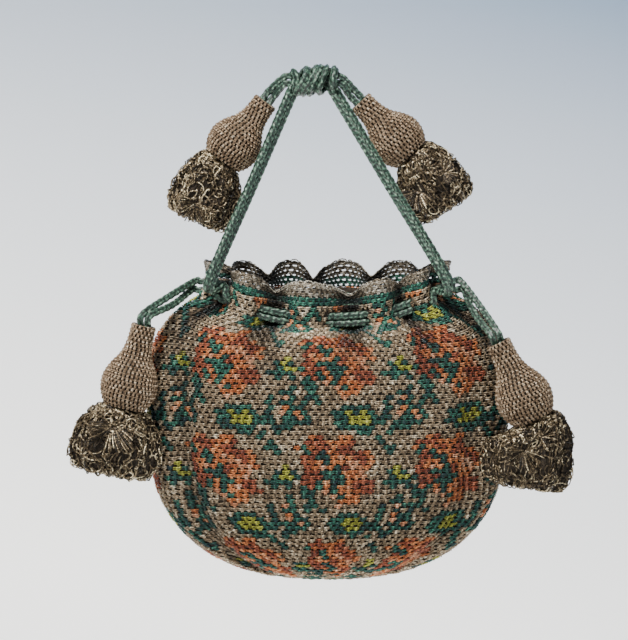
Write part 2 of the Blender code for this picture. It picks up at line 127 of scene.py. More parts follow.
def colour_ramp(tree, fac, tones):
    """A colour that runs through the given tones, each with its place from 0 to 1."""
    ramp = add_node(tree, "ValToRGB", {"Fac": fac})
    elements = ramp.color_ramp.elements
    while len(elements) < len(tones):
        elements.new(0.5)
    for element, (place, colour) in zip(elements, tones):
        element.position = place
        element.color = (*colour, 1)
    return ramp.outputs["Color"]


def paper_finish():
    """Pale below and blue above, glowing in these colours as painted light. From behind it is
    clear, so that the pouch's back can be seen.
    """
    finish = bpy.data.materials.new("pale paper")
    tree, shader = nodes_of(finish)
    place = add_node(tree, "TexCoord").outputs["Object"]
    climb = add_node(tree, "VectorMath", {0: place, 1: (0.25, 0, 1)}, operation="DOT_PRODUCT")
    reach = add_node(tree, "MapRange", {"From Min": PAPER_PALE, "From Max": PAPER_BLUE,
                                        "Value": climb.outputs["Value"]})
    shade = colour_ramp(tree, reach.outputs["Result"], ((0, (0.97, 0.965, 0.94)), (1, (0.15, 0.215, 0.31))))
    grain = add_node(tree, "TexNoise", {"Scale": 900, "Vector": place})
    bump = add_node(tree, "Bump", {"Strength": 0.05, "Distance": 0.0004, "Height": grain.outputs["Fac"]})
    # The paper's glow is painted light.
    feed(tree, shader, {"Base Color": shade, "Normal": bump.outputs["Normal"], "Emission Color": shade,
                        "Emission Strength": 0.42, "Roughness": 0.9, "Specular IOR Level": 0.2})
    side = add_node(tree, "NewGeometry")
    clear = add_node(tree, "BsdfTransparent")
    either = add_node(tree, "MixShader", {"Fac": side.outputs["Backfacing"], 1: shader.outputs["BSDF"],
                                          2: clear.outputs["BSDF"]})
    feed(tree, tree.nodes["Material Output"], {"Surface": either.outputs["Shader"]})
    return finish


def smooth_mesh(name, bm):
    mesh = bpy.data.meshes.new(name)
    bm.to_mesh(mesh)
    bm.free()
    mesh.shade_smooth()
    return mesh


def make_paper():
    """Floor and back wall in one sheet, with a round bend between them."""
    bm = bmesh.new()
    bmesh.ops.create_grid(bm, x_segments=1, y_segments=1, size=PAPER_REACH)
    bmesh.ops.translate(bm, verts=bm.verts, vec=(0, PAPER_BACK - PAPER_REACH, PAPER_FLOOR))
    back = [e for e in bm.edges if all(v.co.y > PAPER_BACK - 0.01 for v in e.verts)]
    wall = bmesh.ops.extrude_edge_only(bm, edges=back)["geom"]
    bmesh.ops.translate(bm, verts=[g for g in wall if isinstance(g, bmesh.types.BMVert)],
                        vec=(0, 0, PAPER_HEIGHT))
    bmesh.ops.bevel(bm, geom=back, affect="EDGES", offset=PAPER_BEND, segments=24, profile=0.5,
                    material=-1)
    bmesh.ops.recalc_face_normals(bm, faces=bm.faces)
    if max(bm.faces, key=lambda f: -f.calc_center_median().z).normal.z < 0:
        bmesh.ops.reverse_faces(bm, faces=bm.faces)
    mesh = smooth_mesh("paper sweep", bm)
    mesh.materials.append(paper_finish())
    paper = put("paper_sweep", mesh)


make_paper()


# The bag's own form, which its cords and stitches follow: a lens of cloth, flat at the back of a
# round belly, with ten gathers at the mouth and a crease inside each side of the front.
WALL = 0.0018
GAP = 0.0003
BAG_HALF_WIDTH = 0.0802
BAG_HALF_DEPTH = 0.031
RIM_DROP = 0.081
BELLY_BELOW_RIM = 0.0644
BASE_BELOW_BELLY = 0.0711
BAG_SHIFT = 0.0065
BASE_ROUND = 2.5
UNDERSIDE_ROUND = 2.2
FOLD_DEPTH = 0.0060
MOUTH_SAG = 0.0117
BACK_LIFT = 0.55
CASING_LEVEL = 0.90
CREASE_ANGLE = math.radians(53)
CREASE_WIDTH = math.radians(7)
CREASE_LEFT = 0.0045
CREASE_RIGHT = 0.0028
CREASE_TOP = 0.62
CREASE_FADE = 0.3
BELLY_Z = -RIM_DROP - BELLY_BELOW_RIM

# Level, then height, width, depth, fold, squareness and sag of the bag's sections
SECTIONS = np.array((
    (0.00, 0.000, 1.000, 1.00, 0.00, 2.00, 0.00),
    (0.25, 0.280, 1.000, 0.98, 0.08, 2.00, 0.04),
    (0.50, 0.542, 0.945, 0.89, 0.38, 2.05, 0.25),
    (0.66, 0.700, 0.845, 0.75, 0.75, 2.20, 0.60),
    (0.77, 0.800, 0.738, 0.59, 0.98, 2.35, 0.90),
    (0.83, 0.850, 0.672, 0.50, 1.04, 2.50, 1.00),
    (0.90, 0.905, 0.634, 0.47, 1.06, 2.50, 1.02),
    (1.00, 1.000, 0.618, 0.50, 1.06, 2.50, 1.00),
))
HEIGHT, WIDTH, DEPTH, FOLD, SQUARE, SAG = range(1, 7)

# Ridges of the gathers in degrees round from the front's middle, and each one's share of depth
RIDGES = np.radians((-97, -40, -7, 23, 50, 96, 146, 175, 194, 224, 263))
RIDGE_DEPTHS = np.array((0.80, 0.95, 1.00, 0.90, 0.72, 0.80, 0.90, 1.00, 1.00, 0.85, 0.80))


def at_level(column, level):
    """One column of the section table on a smooth curve through its rows."""
    rows, values = SECTIONS[:, 0], SECTIONS[:, column]
    i = np.clip(np.searchsorted(rows, level, side="right") - 1, 0, len(rows) - 2)
    slope = np.empty(len(rows))
    slope[1:-1] = (values[2:] - values[:-2]) / (rows[2:] - rows[:-2])
    slope[0] = (values[1] - values[0]) / (rows[1] - rows[0])
    slope[-1] = (values[-1] - values[-2]) / (rows[-1] - rows[-2])
    span = rows[i + 1] - rows[i]
    t = (level - rows[i]) / span
    return (values[i] * (2 * t**3 - 3 * t**2 + 1) + slope[i] * span * (t**3 - 2 * t**2 + t)
            + values[i + 1] * (3 * t**2 - 2 * t**3) + slope[i + 1] * span * (t**3 - t**2))


def wave(angle):
    """1 on a gather's ridge and -1 in the valley between two, times how deep that gather is."""
    angle = RIDGES[0] + (angle - RIDGES[0]) % (2 * math.pi)
    return (np.interp(angle, RIDGES, RIDGE_DEPTHS)
            * np.cos(2 * math.pi * np.interp(angle, RIDGES, np.arange(len(RIDGES)))))


def valley(angle):
    """How far an angle lies down in the valley between two gathers, 0 to 1."""
    return np.clip(-wave(angle) / 0.75, 0, 1)


def signed_power(value, power):
    return np.sign(value) * np.abs(value) ** power


def crease(angle, level):
    angle = (angle + math.pi) % (2 * math.pi) - math.pi
    deep = np.where(angle < 0, CREASE_LEFT, CREASE_RIGHT) * (np.abs(angle) <= math.pi / 2)
    reach = np.minimum(np.clip((CREASE_TOP - level) / CREASE_FADE, 0, 1),
                       np.clip((1 + level) / CREASE_FADE, 0, 1))
    return deep * reach * np.exp(-(((np.abs(angle) - CREASE_ANGLE) / CREASE_WIDTH) ** 2))


def outward(angle, a, b, square):
    x = signed_power(np.sin(angle), 2 - 2 / square) / np.maximum(a, 1e-6)
    y = signed_power(-np.cos(angle), 2 - 2 / square) / np.maximum(b, 1e-6)
    size = np.maximum(np.hypot(x, y), 1e-9)
    return np.stack((x / size, y / size, np.zeros_like(x)), axis=-1)


def bag_point(angle, level, folded=True):
    """Points of the middle of the bag's wall. Level runs from -1 at the base, through 0 at the
    belly, to 1 at the rim, and angle from the front's middle towards +X."""
    angle, level = np.broadcast_arrays(np.asarray(angle, float), np.asarray(level, float))
    under, over = np.clip(-level, 0, 1), np.clip(level, 0, 1)
    below = level < 0
    drop = np.sin(under * math.pi / 2) ** (2 / BASE_ROUND)
    width = np.where(below, np.abs(np.cos(under * math.pi / 2)) ** (2 / BASE_ROUND),
                     at_level(WIDTH, over))
    depth = np.where(below, np.maximum(0, 1 - drop**UNDERSIDE_ROUND) ** (1 / UNDERSIDE_ROUND),
                     at_level(DEPTH, over))
    height = np.where(below, -BASE_BELOW_BELLY * drop, BELLY_BELOW_RIM * at_level(HEIGHT, over))
    fold, sag = (np.where(below, 0, at_level(c, over)) for c in (FOLD, SAG))
    square = np.where(below, 2, at_level(SQUARE, over))
    a, b = BAG_HALF_WIDTH * width, BAG_HALF_DEPTH * depth
    along = -np.cos(angle)
    x = a * signed_power(np.sin(angle), 2 / square)
    y = b * signed_power(along, 2 / square)
    push = (FOLD_DEPTH * fold * wave(angle) if folded else 0) - crease(angle, level)
    droop = MOUTH_SAG * sag * along**2 * (1 - BACK_LIFT * (1 + along) / 2)
    flat = np.stack((BAG_SHIFT + x, y, BELLY_Z + height - droop), axis=-1)
    return flat + push[..., None] * outward(angle, a, b, square)


def casing_point(angle, lift=0.0, out=0.0):
    """A point of the drawstrings' line round the mouth, raised and moved outwards."""
    square = at_level(SQUARE, CASING_LEVEL)
    a = BAG_HALF_WIDTH * at_level(WIDTH, CASING_LEVEL)
    b = BAG_HALF_DEPTH * at_level(DEPTH, CASING_LEVEL)
    place = bag_point(angle, CASING_LEVEL, folded=False)
    return Vector(place + (0, 0, lift) + out * outward(np.float64(angle), a, b, square))


# The cords: two silk drawstrings, braided round from four strands. Each comes down doubled from
# the knot in front of the ruffle, runs once round the mouth and goes up again beside itself.
CORD = 0.0030
CORD_PITCH = CORD + GAP
KNOT_HALF_LENGTH = 0.0112
KNOT_RADIUS = 0.0074
SHOULDER_LEFT = math.radians(-68.5)
SHOULDER_RIGHT = math.radians(73)
SHOULDER_MERGE = math.radians(19)
HANDLE_SPREAD = 0.0084
HANDLE_RISE = 0.0045
FOOT_OUTWARD = 0.0047
FOOT_FRONT_LEFT = 0.0129
FOOT_FRONT_RIGHT = 0.0150
TURN_OVER = 0.3
TURN_INSIDE = 0.7
OVER_FRONT = 1.6 * CORD_PITCH
OVER_LIFT = 1.25 * CORD_PITCH
INSIDE_OUT = 1.3 * CORD_PITCH
PAIR_ACROSS = 0.72
PAIR_BEHIND = 0.69
BRAID_STEP = 0.0005
BRAID_SIDES = 16
BRAID_PITCH = 0.0031
BRAID_SWELL = 1.22
BRAID_END = 0.6
BRAID_DARK = 0.10
BRAID_PAINTED_LIGHT = 0.58
LEAF = 0.0036
LEAF_LEAN = 1.0
LEAF_GROOVE = 0.50
LEAF_BLUNT_ACROSS = 0.45
LEAF_BLUNT_ALONG = 0.55
NECK_RADIUS = 0.0052
SOCKET_DEPTH = 0.004


def lengths_along(paths):
    """How far along its path each point lies. The points follow each other on the last axis
    but one."""
    steps = np.linalg.norm(np.diff(paths, axis=-2), axis=-1)
    return np.concatenate((np.zeros_like(steps[..., :1]), np.cumsum(steps, axis=-1)), axis=-1)


def smooth_route(points, spacing):
    """Points about evenly spaced along a smooth curve through the given ones."""
    dense = []
    ends = [2 * points[0] - points[1]] + list(points) + [2 * points[-1] - points[-2]]
    for a, b, c, d in zip(ends, ends[1:], ends[2:], ends[3:]):
        for i in range(16):
            t = i / 16
            dense.append(0.5 * (2 * b + (c - a) * t + (2 * a - 5 * b + 4 * c - d) * t**2
                                + (3 * b - a - 3 * c + d) * t**3))
    dense.append(points[-1].copy())
    dense = np.array(dense)
    steps = lengths_along(dense)
    goals = np.linspace(0, steps[-1], max(4, round(steps[-1] / spacing)) + 1)
    return np.stack([np.interp(goals, steps, dense[:, k]) for k in range(3)], axis=1)


def beside(direction):
    """The direction in the cords' plane at right angles to a strand."""
    return Vector((-direction.z, 0, direction.x)).normalized()


def knot_centre():
    return Vector((0, 0, KNOT_RADIUS))


def handle_foot(side):
    """In front of the ruffle at a shoulder, where a pair of strands comes down past the rim."""
    shoulder = SHOULDER_LEFT if side < 0 else SHOULDER_RIGHT
    front = FOOT_FRONT_LEFT if side < 0 else FOOT_FRONT_RIGHT
    rim = BELLY_BELOW_RIM * (1 - at_level(HEIGHT, CASING_LEVEL))
    return casing_point(shoulder, lift=rim) + Vector((side * FOOT_OUTWARD, -front, 0))


def handle_top(side):
    return Vector((side * HANDLE_SPREAD, 0, HANDLE_RISE))


def handle_direction(side):
    return (handle_foot(side) - handle_top(side)).normalized()


def knot_exit(start, direction):
    """The place on the knot's outside where a line from inside it comes out."""
    half = Vector((KNOT_HALF_LENGTH, KNOT_RADIUS, KNOT_RADIUS))
    offset = start - knot_centre()
    p = sum(d * d / h**2 for d, h in zip(direction, half))
    q = sum(o * d / h**2 for o, d, h in zip(offset, direction, half))
    r = sum(o * o / h**2 for o, h in zip(offset, half)) - 1
    return start + direction * (-q + math.sqrt(q * q - p * r)) / p


def drawstring_points(side, lift):
    shoulder = SHOULDER_LEFT if side < 0 else SHOULDER_RIGHT
    down = handle_direction(side)
    foot = handle_foot(side)
    halves = []
    for way in (1, -1):
        apart = way * BRAID_PITCH / 2 * (beside(down) * PAIR_ACROSS + Vector((0, PAIR_BEHIND, 0)))
        top = knot_exit(handle_top(side) + apart, down)
        merge = way * SHOULDER_MERGE
        over = casing_point(shoulder + merge * TURN_OVER, lift + OVER_LIFT)
        over -= Vector((0, OVER_FRONT, 0))
        inside = casing_point(shoulder + merge * TURN_INSIDE, lift, INSIDE_OUT)
        halves.append([handle_top(side) + 0.5 * apart, top, top.lerp(foot + apart, 0.5),
                       foot + apart, over, inside])
    turns = np.linspace(SHOULDER_MERGE, 2 * math.pi - SHOULDER_MERGE, 61)
    ring = [casing_point(shoulder + turn, lift) for turn in turns]
    return halves[0] + ring + halves[1][::-1]


def unit(vectors):
    return vectors / np.maximum(np.linalg.norm(vectors, axis=-1, keepdims=True), 1e-12)


def tube_pattern(rings, sides):
    """A capped tube of unit radius with evenly spaced rings: each corner's ring number, cosine
    and sine, and the faces."""
    bm = bmesh.new()
    bmesh.ops.create_cone(bm, cap_ends=True, segments=sides, radius1=1, radius2=1, depth=2)
    lengthwise = [e for e in bm.edges if abs(e.verts[0].co.z - e.verts[1].co.z) > 1]
    bmesh.ops.subdivide_edges(bm, edges=lengthwise, cuts=rings - 2)
    corners = np.array([v.co for v in bm.verts])
    ring = np.rint((corners[:, 2] + 1) / 2 * (rings - 1)).astype(int)
    round_ = unit(corners[:, :2])
    faces = [[v.index for v in f.verts] for f in bm.faces]
    bm.free()
    return ring, round_[:, 0], round_[:, 1], faces


def joined_mesh(name, corners, faces, copies):
    """One mesh of many copies of the same faces, whose corners follow one another."""
    sizes = np.array([len(f) for f in faces])
    loops = np.concatenate(faces)
    step = len(corners) // copies
    loops = (loops[None, :] + step * np.arange(copies)[:, None]).ravel()
    sizes = np.tile(sizes, copies)
    mesh = bpy.data.meshes.new(name)
    mesh.vertices.add(len(corners))
    mesh.vertices.foreach_set("co", corners.astype(np.float32).ravel())
    mesh.loops.add(len(loops))
    mesh.loops.foreach_set("vertex_index", loops.astype(np.int32))
    mesh.polygons.add(len(sizes))
    mesh.polygons.foreach_set("loop_start", np.concatenate(((0,), np.cumsum(sizes)[:-1])).astype(np.int32))
    mesh.update(calc_edges=True)
    mesh.shade_smooth()
    return mesh


def lay_strands(name, paths, ups, radius, sides, tones, finish, painted_shade=0.0):
    """Round strands along many paths at once, joined in one piece. Paths and ups, the directions
    away from the cloth, are strand by point by xyz. The radius may vary along a strand.
    Each point keeps its way along the strand and round it for the ply, and its strand's tone."""
    count, rings = paths.shape[:2]
    ring, cosine, sine, faces = tube_pattern(rings, sides)
    along = unit(np.gradient(paths, axis=1))
    side = unit(np.cross(ups, along))
    rise = np.cross(along, side)
    radius = np.broadcast_to(radius, (count, rings))[:, ring, None]
    corners = (paths[:, ring] + radius * (cosine[None, :, None] * side[:, ring]
                                          + sine[None, :, None] * rise[:, ring]))
    mesh = joined_mesh(name, corners.reshape(-1, 3), faces, count)
    way = lengths_along(paths)
    ply = np.stack((way[:, ring], np.broadcast_to(cosine, (count, len(ring))),
                    np.broadcast_to(sine, (count, len(ring)))), axis=2)
    painted_shade = np.broadcast_to(painted_shade, count)
    keep_attributes(mesh, ply, np.repeat(tones, len(ring)), np.repeat(painted_shade, len(ring)))
    return add_piece(name, mesh, finish)


def keep_attributes(mesh, ply, tones, painted_shade):
    mesh.attributes.new("ply", "FLOAT_VECTOR", "POINT").data.foreach_set(
        "vector", ply.astype(np.float32).ravel())
    for name, values in (("tone", tones), ("painted_shade", painted_shade)):
        mesh.attributes.new(name, "FLOAT", "POINT").data.foreach_set("value", values.astype(np.float32))


def add_piece(name, mesh, finish):
    mesh.materials.append(finish)
    piece = put(name, mesh)
    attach(piece, "root")
    return piece


def carried_ups(path, start):
    """Directions square to a path that turn with it and never twist."""
    along = unit(np.gradient(path, axis=0))
    ups = np.empty_like(path)
    up = np.array(start, float)
    for k, way in enumerate(along):
        up = up - way * up.dot(way)
        up /= np.linalg.norm(up)
        ups[k] = up
    return ups


def plied_yarn():
    """Node group: the twist of a yarn's plies, from each point's way along and round it."""
    group = bpy.data.node_groups.new("plied yarn", "ShaderNodeTree")
    for name in ("Twists", "Strength", "Fuzz"):
        group.interface.new_socket(name, in_out="INPUT", socket_type="NodeSocketFloat")
    for name, kind in (("Groove", "Float"), ("Fleck_and_glint", "Float"), ("Normal", "Vector")):
        group.interface.new_socket(name, in_out="OUTPUT", socket_type="NodeSocket" + kind)
    given, out = group.nodes.new("NodeGroupInput"), group.nodes.new("NodeGroupOutput")
    ply = add_node(group, "Attribute", attribute_name="ply")
    split = add_node(group, "SeparateXYZ", {0: ply.outputs["Vector"]})

    def math_node(operation, *values):
        return add_node(group, "Math", dict(enumerate(values)), operation=operation).outputs[0]

    turn = math_node("MULTIPLY", math_node("MULTIPLY", split.outputs["X"], given.outputs["Twists"]),
                     2 * math.pi)
    twist = math_node("ADD", math_node("MULTIPLY", math_node("SINE", turn), split.outputs["Y"]),
                      math_node("MULTIPLY", math_node("COSINE", turn), split.outputs["Z"]))
    height = math_node("MULTIPLY_ADD", twist, 0.5, 0.5)
    place = add_node(group, "TexCoord")
    fuzz = add_node(group, "TexNoise", {"Detail": 3, "Vector": place.outputs["Object"],
                                        "Scale": given.outputs["Fuzz"]})
    both = math_node("ADD", height, math_node("MULTIPLY", fuzz.outputs["Fac"], 0.6))
    bump = add_node(group, "Bump", {"Distance": 0.00012, "Strength": given.outputs["Strength"],
                                    "Height": both})
    feed(group, out, {"Groove": height, "Fleck_and_glint": fuzz.outputs["Fac"], "Normal": bump.outputs["Normal"]})
    return group


PLIED_YARN = plied_yarn()


def yarn_finish(name, tones, roughness, metallic, sheen, twists, strength=0.6, fuzz=900.0):
    """A yarn whose colour runs through the given tones, with painted shade between its plies, a
    painted highlight on them and more painted shade where its shade attribute lies on it."""
    finish = bpy.data.materials.new(name)
    tree, shader = nodes_of(finish)
    yarn = add_node(tree, "Group", {"Twists": twists, "Strength": strength, "Fuzz": fuzz},
                    node_tree=PLIED_YARN)
    groove, fleck_and_glint = yarn.outputs["Groove"], yarn.outputs["Fleck_and_glint"]
    tone = add_node(tree, "Attribute", attribute_name="tone")
    # Random noise along the yarn moves its tone through the ramp; the pale top tones it reaches are painted
    # glints.
    spread = add_node(tree, "Math", {0: fleck_and_glint, 1: 2.2, 2: -1.12}, operation="MULTIPLY_ADD")
    place = add_node(tree, "Math", {0: tone.outputs["Fac"], 1: spread.outputs[0]}, operation="ADD",
                     use_clamp=True)
    colour = colour_ramp(tree, place.outputs[0], tones)
    painted_shade = add_node(tree, "Attribute", attribute_name="painted_shade")
    # The plies' twist multiplies the colour from 0.40 in their grooves to 1.25 on their crests, as painted
    # shade and a painted highlight; the painted shade attribute darkens it down to 0.07.
    for cause, clear, dark in ((groove, 0.40, 1.25), (painted_shade.outputs["Fac"], 1.0, 0.07)):
        shade = add_node(tree, "MapRange", {"To Min": clear, "To Max": dark, "Value": cause})
        colour = add_node(tree, "Mix", {"Factor": 1, "A": colour, "B": shade.outputs["Result"]},
                          data_type="RGBA", blend_type="MULTIPLY").outputs["Result"]
    rough = add_node(tree, "MapRange", {"To Min": roughness - 0.12, "To Max": roughness + 0.12,
                                        "Value": fleck_and_glint})
    feed(tree, shader, {"Base Color": colour, "Roughness": rough.outputs["Result"],
                        "Normal": yarn.outputs["Normal"], "Metallic": metallic,
                        "Sheen Weight": sheen, "Sheen Roughness": 0.4})
    return finish


# The palest tone stands in for glints: a painted highlight.
SILK = yarn_finish(
    "braided silk",
    ((0.0, (0.003, 0.009, 0.006)), (0.3, (0.015, 0.042, 0.028)), (0.65, (0.080, 0.155, 0.108)),
     (1.0, (0.30, 0.42, 0.30))),
    roughness=0.42, metallic=0.0, sheen=0.15, twists=420.0, strength=0.3, fuzz=1100.0)


def braid_relief(way, turn):
    """How far a round four-strand braid stands up, 0 in its grooves to 1 on its leaves. Leaves
    lean one way in two of its columns and the other way in the two between."""
    column = turn / (2 * math.pi) * 4
    number = np.floor(column)
    across = column - number
    lean = np.where(number % 2 == 0, 1.0, -1.0)
    phase = (way / LEAF + LEAF_LEAN * lean * (across - 0.5) + 0.5 * (number % 2)) % 1
    return (np.sin(math.pi * across) ** LEAF_BLUNT_ACROSS
            * np.sin(math.pi * phase) ** LEAF_BLUNT_ALONG)


def braided_cord(name, paths):
    """One or more braided cords in one closed mesh each, with their grooves in the surface."""
    corners, tones, ways, faces = [], [], [], []
    start = 0
    for path in paths:
        along = unit(np.gradient(path, axis=0))
        ups = carried_ups(path, (0.1, -1, 0.2))
        side = np.cross(ups, along)
        steps = lengths_along(path)
        ring, cosine, sine, tube = tube_pattern(len(path), BRAID_SIDES)
        turn = np.arctan2(sine, cosine) % (2 * math.pi) + 1e-6
        relief = braid_relief(steps[ring], turn)
        radius = CORD / 2 * (BRAID_SWELL - LEAF_GROOVE * (1 - relief))
        radius[(ring == 0) | (ring == len(path) - 1)] *= BRAID_END
        corners.append(path[ring] + radius[:, None] * (cosine[:, None] * side[ring]
                                                       + sine[:, None] * ups[ring]))
        # Painted shade in the braid's grooves and a painted highlight on its leaves: the tone rises with the
        # relief.
        tones.append(BRAID_DARK + BRAID_PAINTED_LIGHT * relief)
        ways.append(np.stack((steps[ring], cosine, sine), axis=1))
        faces += [[v + start for v in f] for f in tube]
        start += len(ring)
    mesh = joined_mesh(name, np.concatenate(corners), faces, 1)
    tones = np.concatenate(tones)
    keep_attributes(mesh, np.concatenate(ways), tones, np.zeros(len(tones)))
    return add_piece(name, mesh, SILK)


def declare_cord(name, points):
    route = smooth_route(points, BRAID_STEP)
    piece = braided_cord(name + "_braid", [route])
    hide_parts(name)
    path = smooth_route(points, 0.003)
    return route


cord_routes = [
    declare_cord("drawstring_left", drawstring_points(-1, CORD_PITCH / 2)),
    declare_cord("drawstring_right", drawstring_points(1, -CORD_PITCH / 2)),
]


# The tassels' places: two hang from the knot's ends and two over the bag's shoulders, each on a
# doubled cord. The lower tassels' cords start at the shoulder ridges and end in their caps.
LOWER_CAP_RADIUS = 0.0125
UPPER_CAP_RADIUS = 0.0120
UPPER_CAP_LENGTH = 0.033
UPPER_SKIRT_LENGTH = 0.028
UPPER_SKIRT_WIDTH = 0.0132
UPPER_LINK = Vector((0.0100, 0.0030, -0.0095))
UPPER_SPREAD = math.radians(13)
UPPER_LEFT_DROOP = math.radians(12)
UPPER_RIGHT_DROOP = math.radians(10)
LOWER_CAP_LENGTH = 0.038
LOWER_SKIRT_LENGTH = 0.029
LOWER_SKIRT_WIDTH = 0.0174
LOWER_CORD_RISE = 0.12
LOWER_CORD_STANDOFF = 4 * GAP
LOWER_CORD_PITCH = CORD_PITCH + 2 * GAP
LOWER_CORD_APART = (CORD_PITCH / 2 + 3 * GAP) * 0.8
SKIRT_DEPTH = 0.0125

# Name, ridge, side, reach, front, drop, then the leans of the cap and the skirt in degrees
LOWER_TASSELS = (
    ("lower_left", -97, -1, 0.0266, 0.0208, 0.0140, 14, 12),
    ("lower_right", 96, 1, 0.0205, 0.0257, 0.0212, 25, -9),
)


def lean_from_down(side, lean):
    return Vector((side * math.sin(lean), 0, -math.cos(lean)))


def socket_points(neck, direction, across):
    """The last points of a cord that runs into a cap's socket."""
    return [neck + across - direction * 1.6 * CORD, neck + across,
            neck + across + direction * (SOCKET_DEPTH - GAP)]


tassels = []
knot_ends = []
for name, side, droop in (("upper_left", -1, UPPER_LEFT_DROOP),
                          ("upper_right", 1, UPPER_RIGHT_DROOP)):
    down = handle_direction(side)
    lean = math.atan2(abs(down.x), -down.z) + UPPER_SPREAD
    direction = lean_from_down(side, lean)
    start = knot_centre() + Vector((side * KNOT_HALF_LENGTH, 0, 0))
    neck = start + Vector((side * UPPER_LINK.x, UPPER_LINK.y, UPPER_LINK.z))
    tassels.append((name, neck, direction, lean_from_down(side, lean - droop), UPPER_CAP_LENGTH,
                    UPPER_CAP_RADIUS, UPPER_SKIRT_LENGTH, UPPER_SKIRT_WIDTH))
    for way in (1, -1):
        inside = start + Vector((-side * CORD, 0, side * way * CORD_PITCH / 2))
        points = [inside, inside + Vector((side * 1.5 * CORD, 0, 0))]
        points += socket_points(neck, direction, beside(direction) * (way * CORD_PITCH / 2))
        knot_ends.append(smooth_route(points, BRAID_STEP))

for name, ridge, side, reach, front, drop, cap_lean, skirt_lean in LOWER_TASSELS:
    ridge = math.radians(ridge)
    root = Vector(bag_point(ridge, CASING_LEVEL))
    out = (casing_point(ridge, out=1) - casing_point(ridge)).normalized()
    neck = root + Vector((side * reach, -front, -drop))
    direction = lean_from_down(side, math.radians(cap_lean))
    tassels.append((name, neck, direction, lean_from_down(side, math.radians(skirt_lean)),
                    LOWER_CAP_LENGTH, LOWER_CAP_RADIUS, LOWER_SKIRT_LENGTH, LOWER_SKIRT_WIDTH))
    middle = (root + out * CORD + neck) / 2 + Vector((0, 0, LOWER_CORD_RISE * reach))
    across = beside(neck - root) * LOWER_CORD_APART
    for number, way in (("1", 1), ("2", -1)):
        level = CASING_LEVEL + way * side * CORD_PITCH / 2 / BELLY_BELOW_RIM
        start = Vector(bag_point(ridge, level)) + out * (WALL / 2 + LOWER_CORD_STANDOFF)
        start.z = root.z + (0.5 + way * side / 2) * LOWER_CORD_PITCH
        points = [start - out * CORD, start, start + out * CORD, middle + way * across]
        points += socket_points(neck, direction, beside(direction) * (way * CORD_PITCH / 2))
        cord = "tassel_cord_" + name + "_" + number
        cord_routes.append(declare_cord(cord, points))


# The knot: a doubled cord wound three times round its own strands and drawn tight, so that the
# wraps slant. Its two pairs of ends run out sideways into the upper tassels.
WRAP_TURNS = 3.0
WRAP_SLANT = 0.75
WRAP_WANDER = 0.0012


def wrap_route(offset):
    """One of the two cords that lie side by side round the knot."""
    inner = KNOT_RADIUS - CORD / 2
    points = []
    for t in np.linspace(0, 1, round(WRAP_TURNS * 14) + 1):
        turn = 2 * math.pi * WRAP_TURNS * t + offset
        x = (2 * t - 1) * (KNOT_HALF_LENGTH - CORD * 0.6)
        swell = math.sqrt(max(0.15, 1 - (x / (KNOT_HALF_LENGTH * 1.12)) ** 2))
        y, z = -inner * swell * math.sin(turn), inner * swell * math.cos(turn)
        x += WRAP_WANDER * math.sin(0.37 * turn + 2 * offset)
        points.append(knot_centre() + Vector((x + WRAP_SLANT * z * (1 - abs(2 * t - 1) ** 3), y, z)))
    return smooth_route(points, BRAID_STEP)


def core_route(shift):
    half = KNOT_HALF_LENGTH - 0.5 * CORD
    return smooth_route([knot_centre() + Vector((k * half, shift, 0)) for k in (-1, -0.3, 0.3, 1)],
                        BRAID_STEP)


knot = braided_cord("knot_wraps", [wrap_route(0), wrap_route(math.pi), core_route(0)] + knot_ends)
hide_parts("knot")


# The bag: crocheted in the round from its base up, 112 stitches a round in six yarns. A double skin
# of backing, near black as painted shade, carries the stitches, each of two upright teeth with two bars over
# them.
STITCHES = 112
STITCH_WIDE = 0.0033
FEWEST_STITCHES = 14
COURSES = 74
GRID_PER_STITCH = 5
GRID_PER_COURSE = 2
STITCH_RADIUS = 0.00043
STITCH_TAPER = np.array((0.8, 1.05, 0.8))
MILLIMETRE = 0.001
CORD_CLEARANCE = 0.0019
RIDGE_PAINTED_LIGHT = 0.16
CREASE_PAINTED_SHADE = 0.4

fine_levels = np.linspace(-0.985, 1, 500)
meridians = [bag_point(math.radians(a), fine_levels) for a in (-55, 0, 55)]
climb = np.mean([lengths_along(m) for m in meridians], axis=0)
grid_rows = COURSES * GRID_PER_COURSE + 1
grid_levels = np.interp(np.linspace(0, climb[-1], grid_rows), climb, fine_levels)
fine_angles = np.linspace(-math.pi, math.pi, 1441)
grid_shares = np.linspace(0, 1, STITCHES * GRID_PER_STITCH + 1)
lengths = lengths_along(bag_point(fine_angles[None, :], grid_levels[:, None]))
girths = lengths[:, -1]
grid_angles = np.stack([np.interp(grid_shares * g, row, fine_angles) for g, row in zip(girths, lengths)])
cloth = bag_point(grid_angles, grid_levels[:, None])
wrapped = np.concatenate((cloth[:, -2:-1], cloth, cloth[:, 1:2]), axis=1)
cloth_out = unit(np.cross((wrapped[:, 2:] - wrapped[:, :-2]), np.gradient(cloth, axis=0)))


def on_cloth(share, course, lift):
    """Points above the cloth and the directions away from it. Courses count up from the base."""
    u = (share % 1) * (len(grid_shares) - 1)
    v = np.clip(course * GRID_PER_COURSE, 0, grid_rows - 1.001)
    i, j = u.astype(int), v.astype(int)
    i = np.minimum(i, len(grid_shares) - 2)
    fu, fv = (u - i)[..., None], (v - j)[..., None]

    def blend(field):
        return ((field[j, i] * (1 - fu) + field[j, i + 1] * fu) * (1 - fv)
                + (field[j + 1, i] * (1 - fu) + field[j + 1, i + 1] * fu) * fv)

    out = unit(blend(cloth_out))
    return blend(cloth) + np.asarray(lift)[..., None] * out, out


# A stitch's strands as places across its width, up its course and out from the cloth in mm
STITCH_STRANDS = np.array((
    ((0.38, -0.18, 0.30), (0.40, 0.08, 0.85), (0.47, 0.46, 0.90)),
    ((0.64, -0.18, 0.30), (0.62, 0.10, 0.85), (0.55, 0.46, 0.90)),
    ((-0.04, 0.42, 0.62), (0.46, 0.44, 1.02), (1.02, 0.56, 0.62)),
    ((-0.02, 0.76, 0.70), (0.48, 0.78, 1.10), (1.04, 0.90, 0.70)),
))

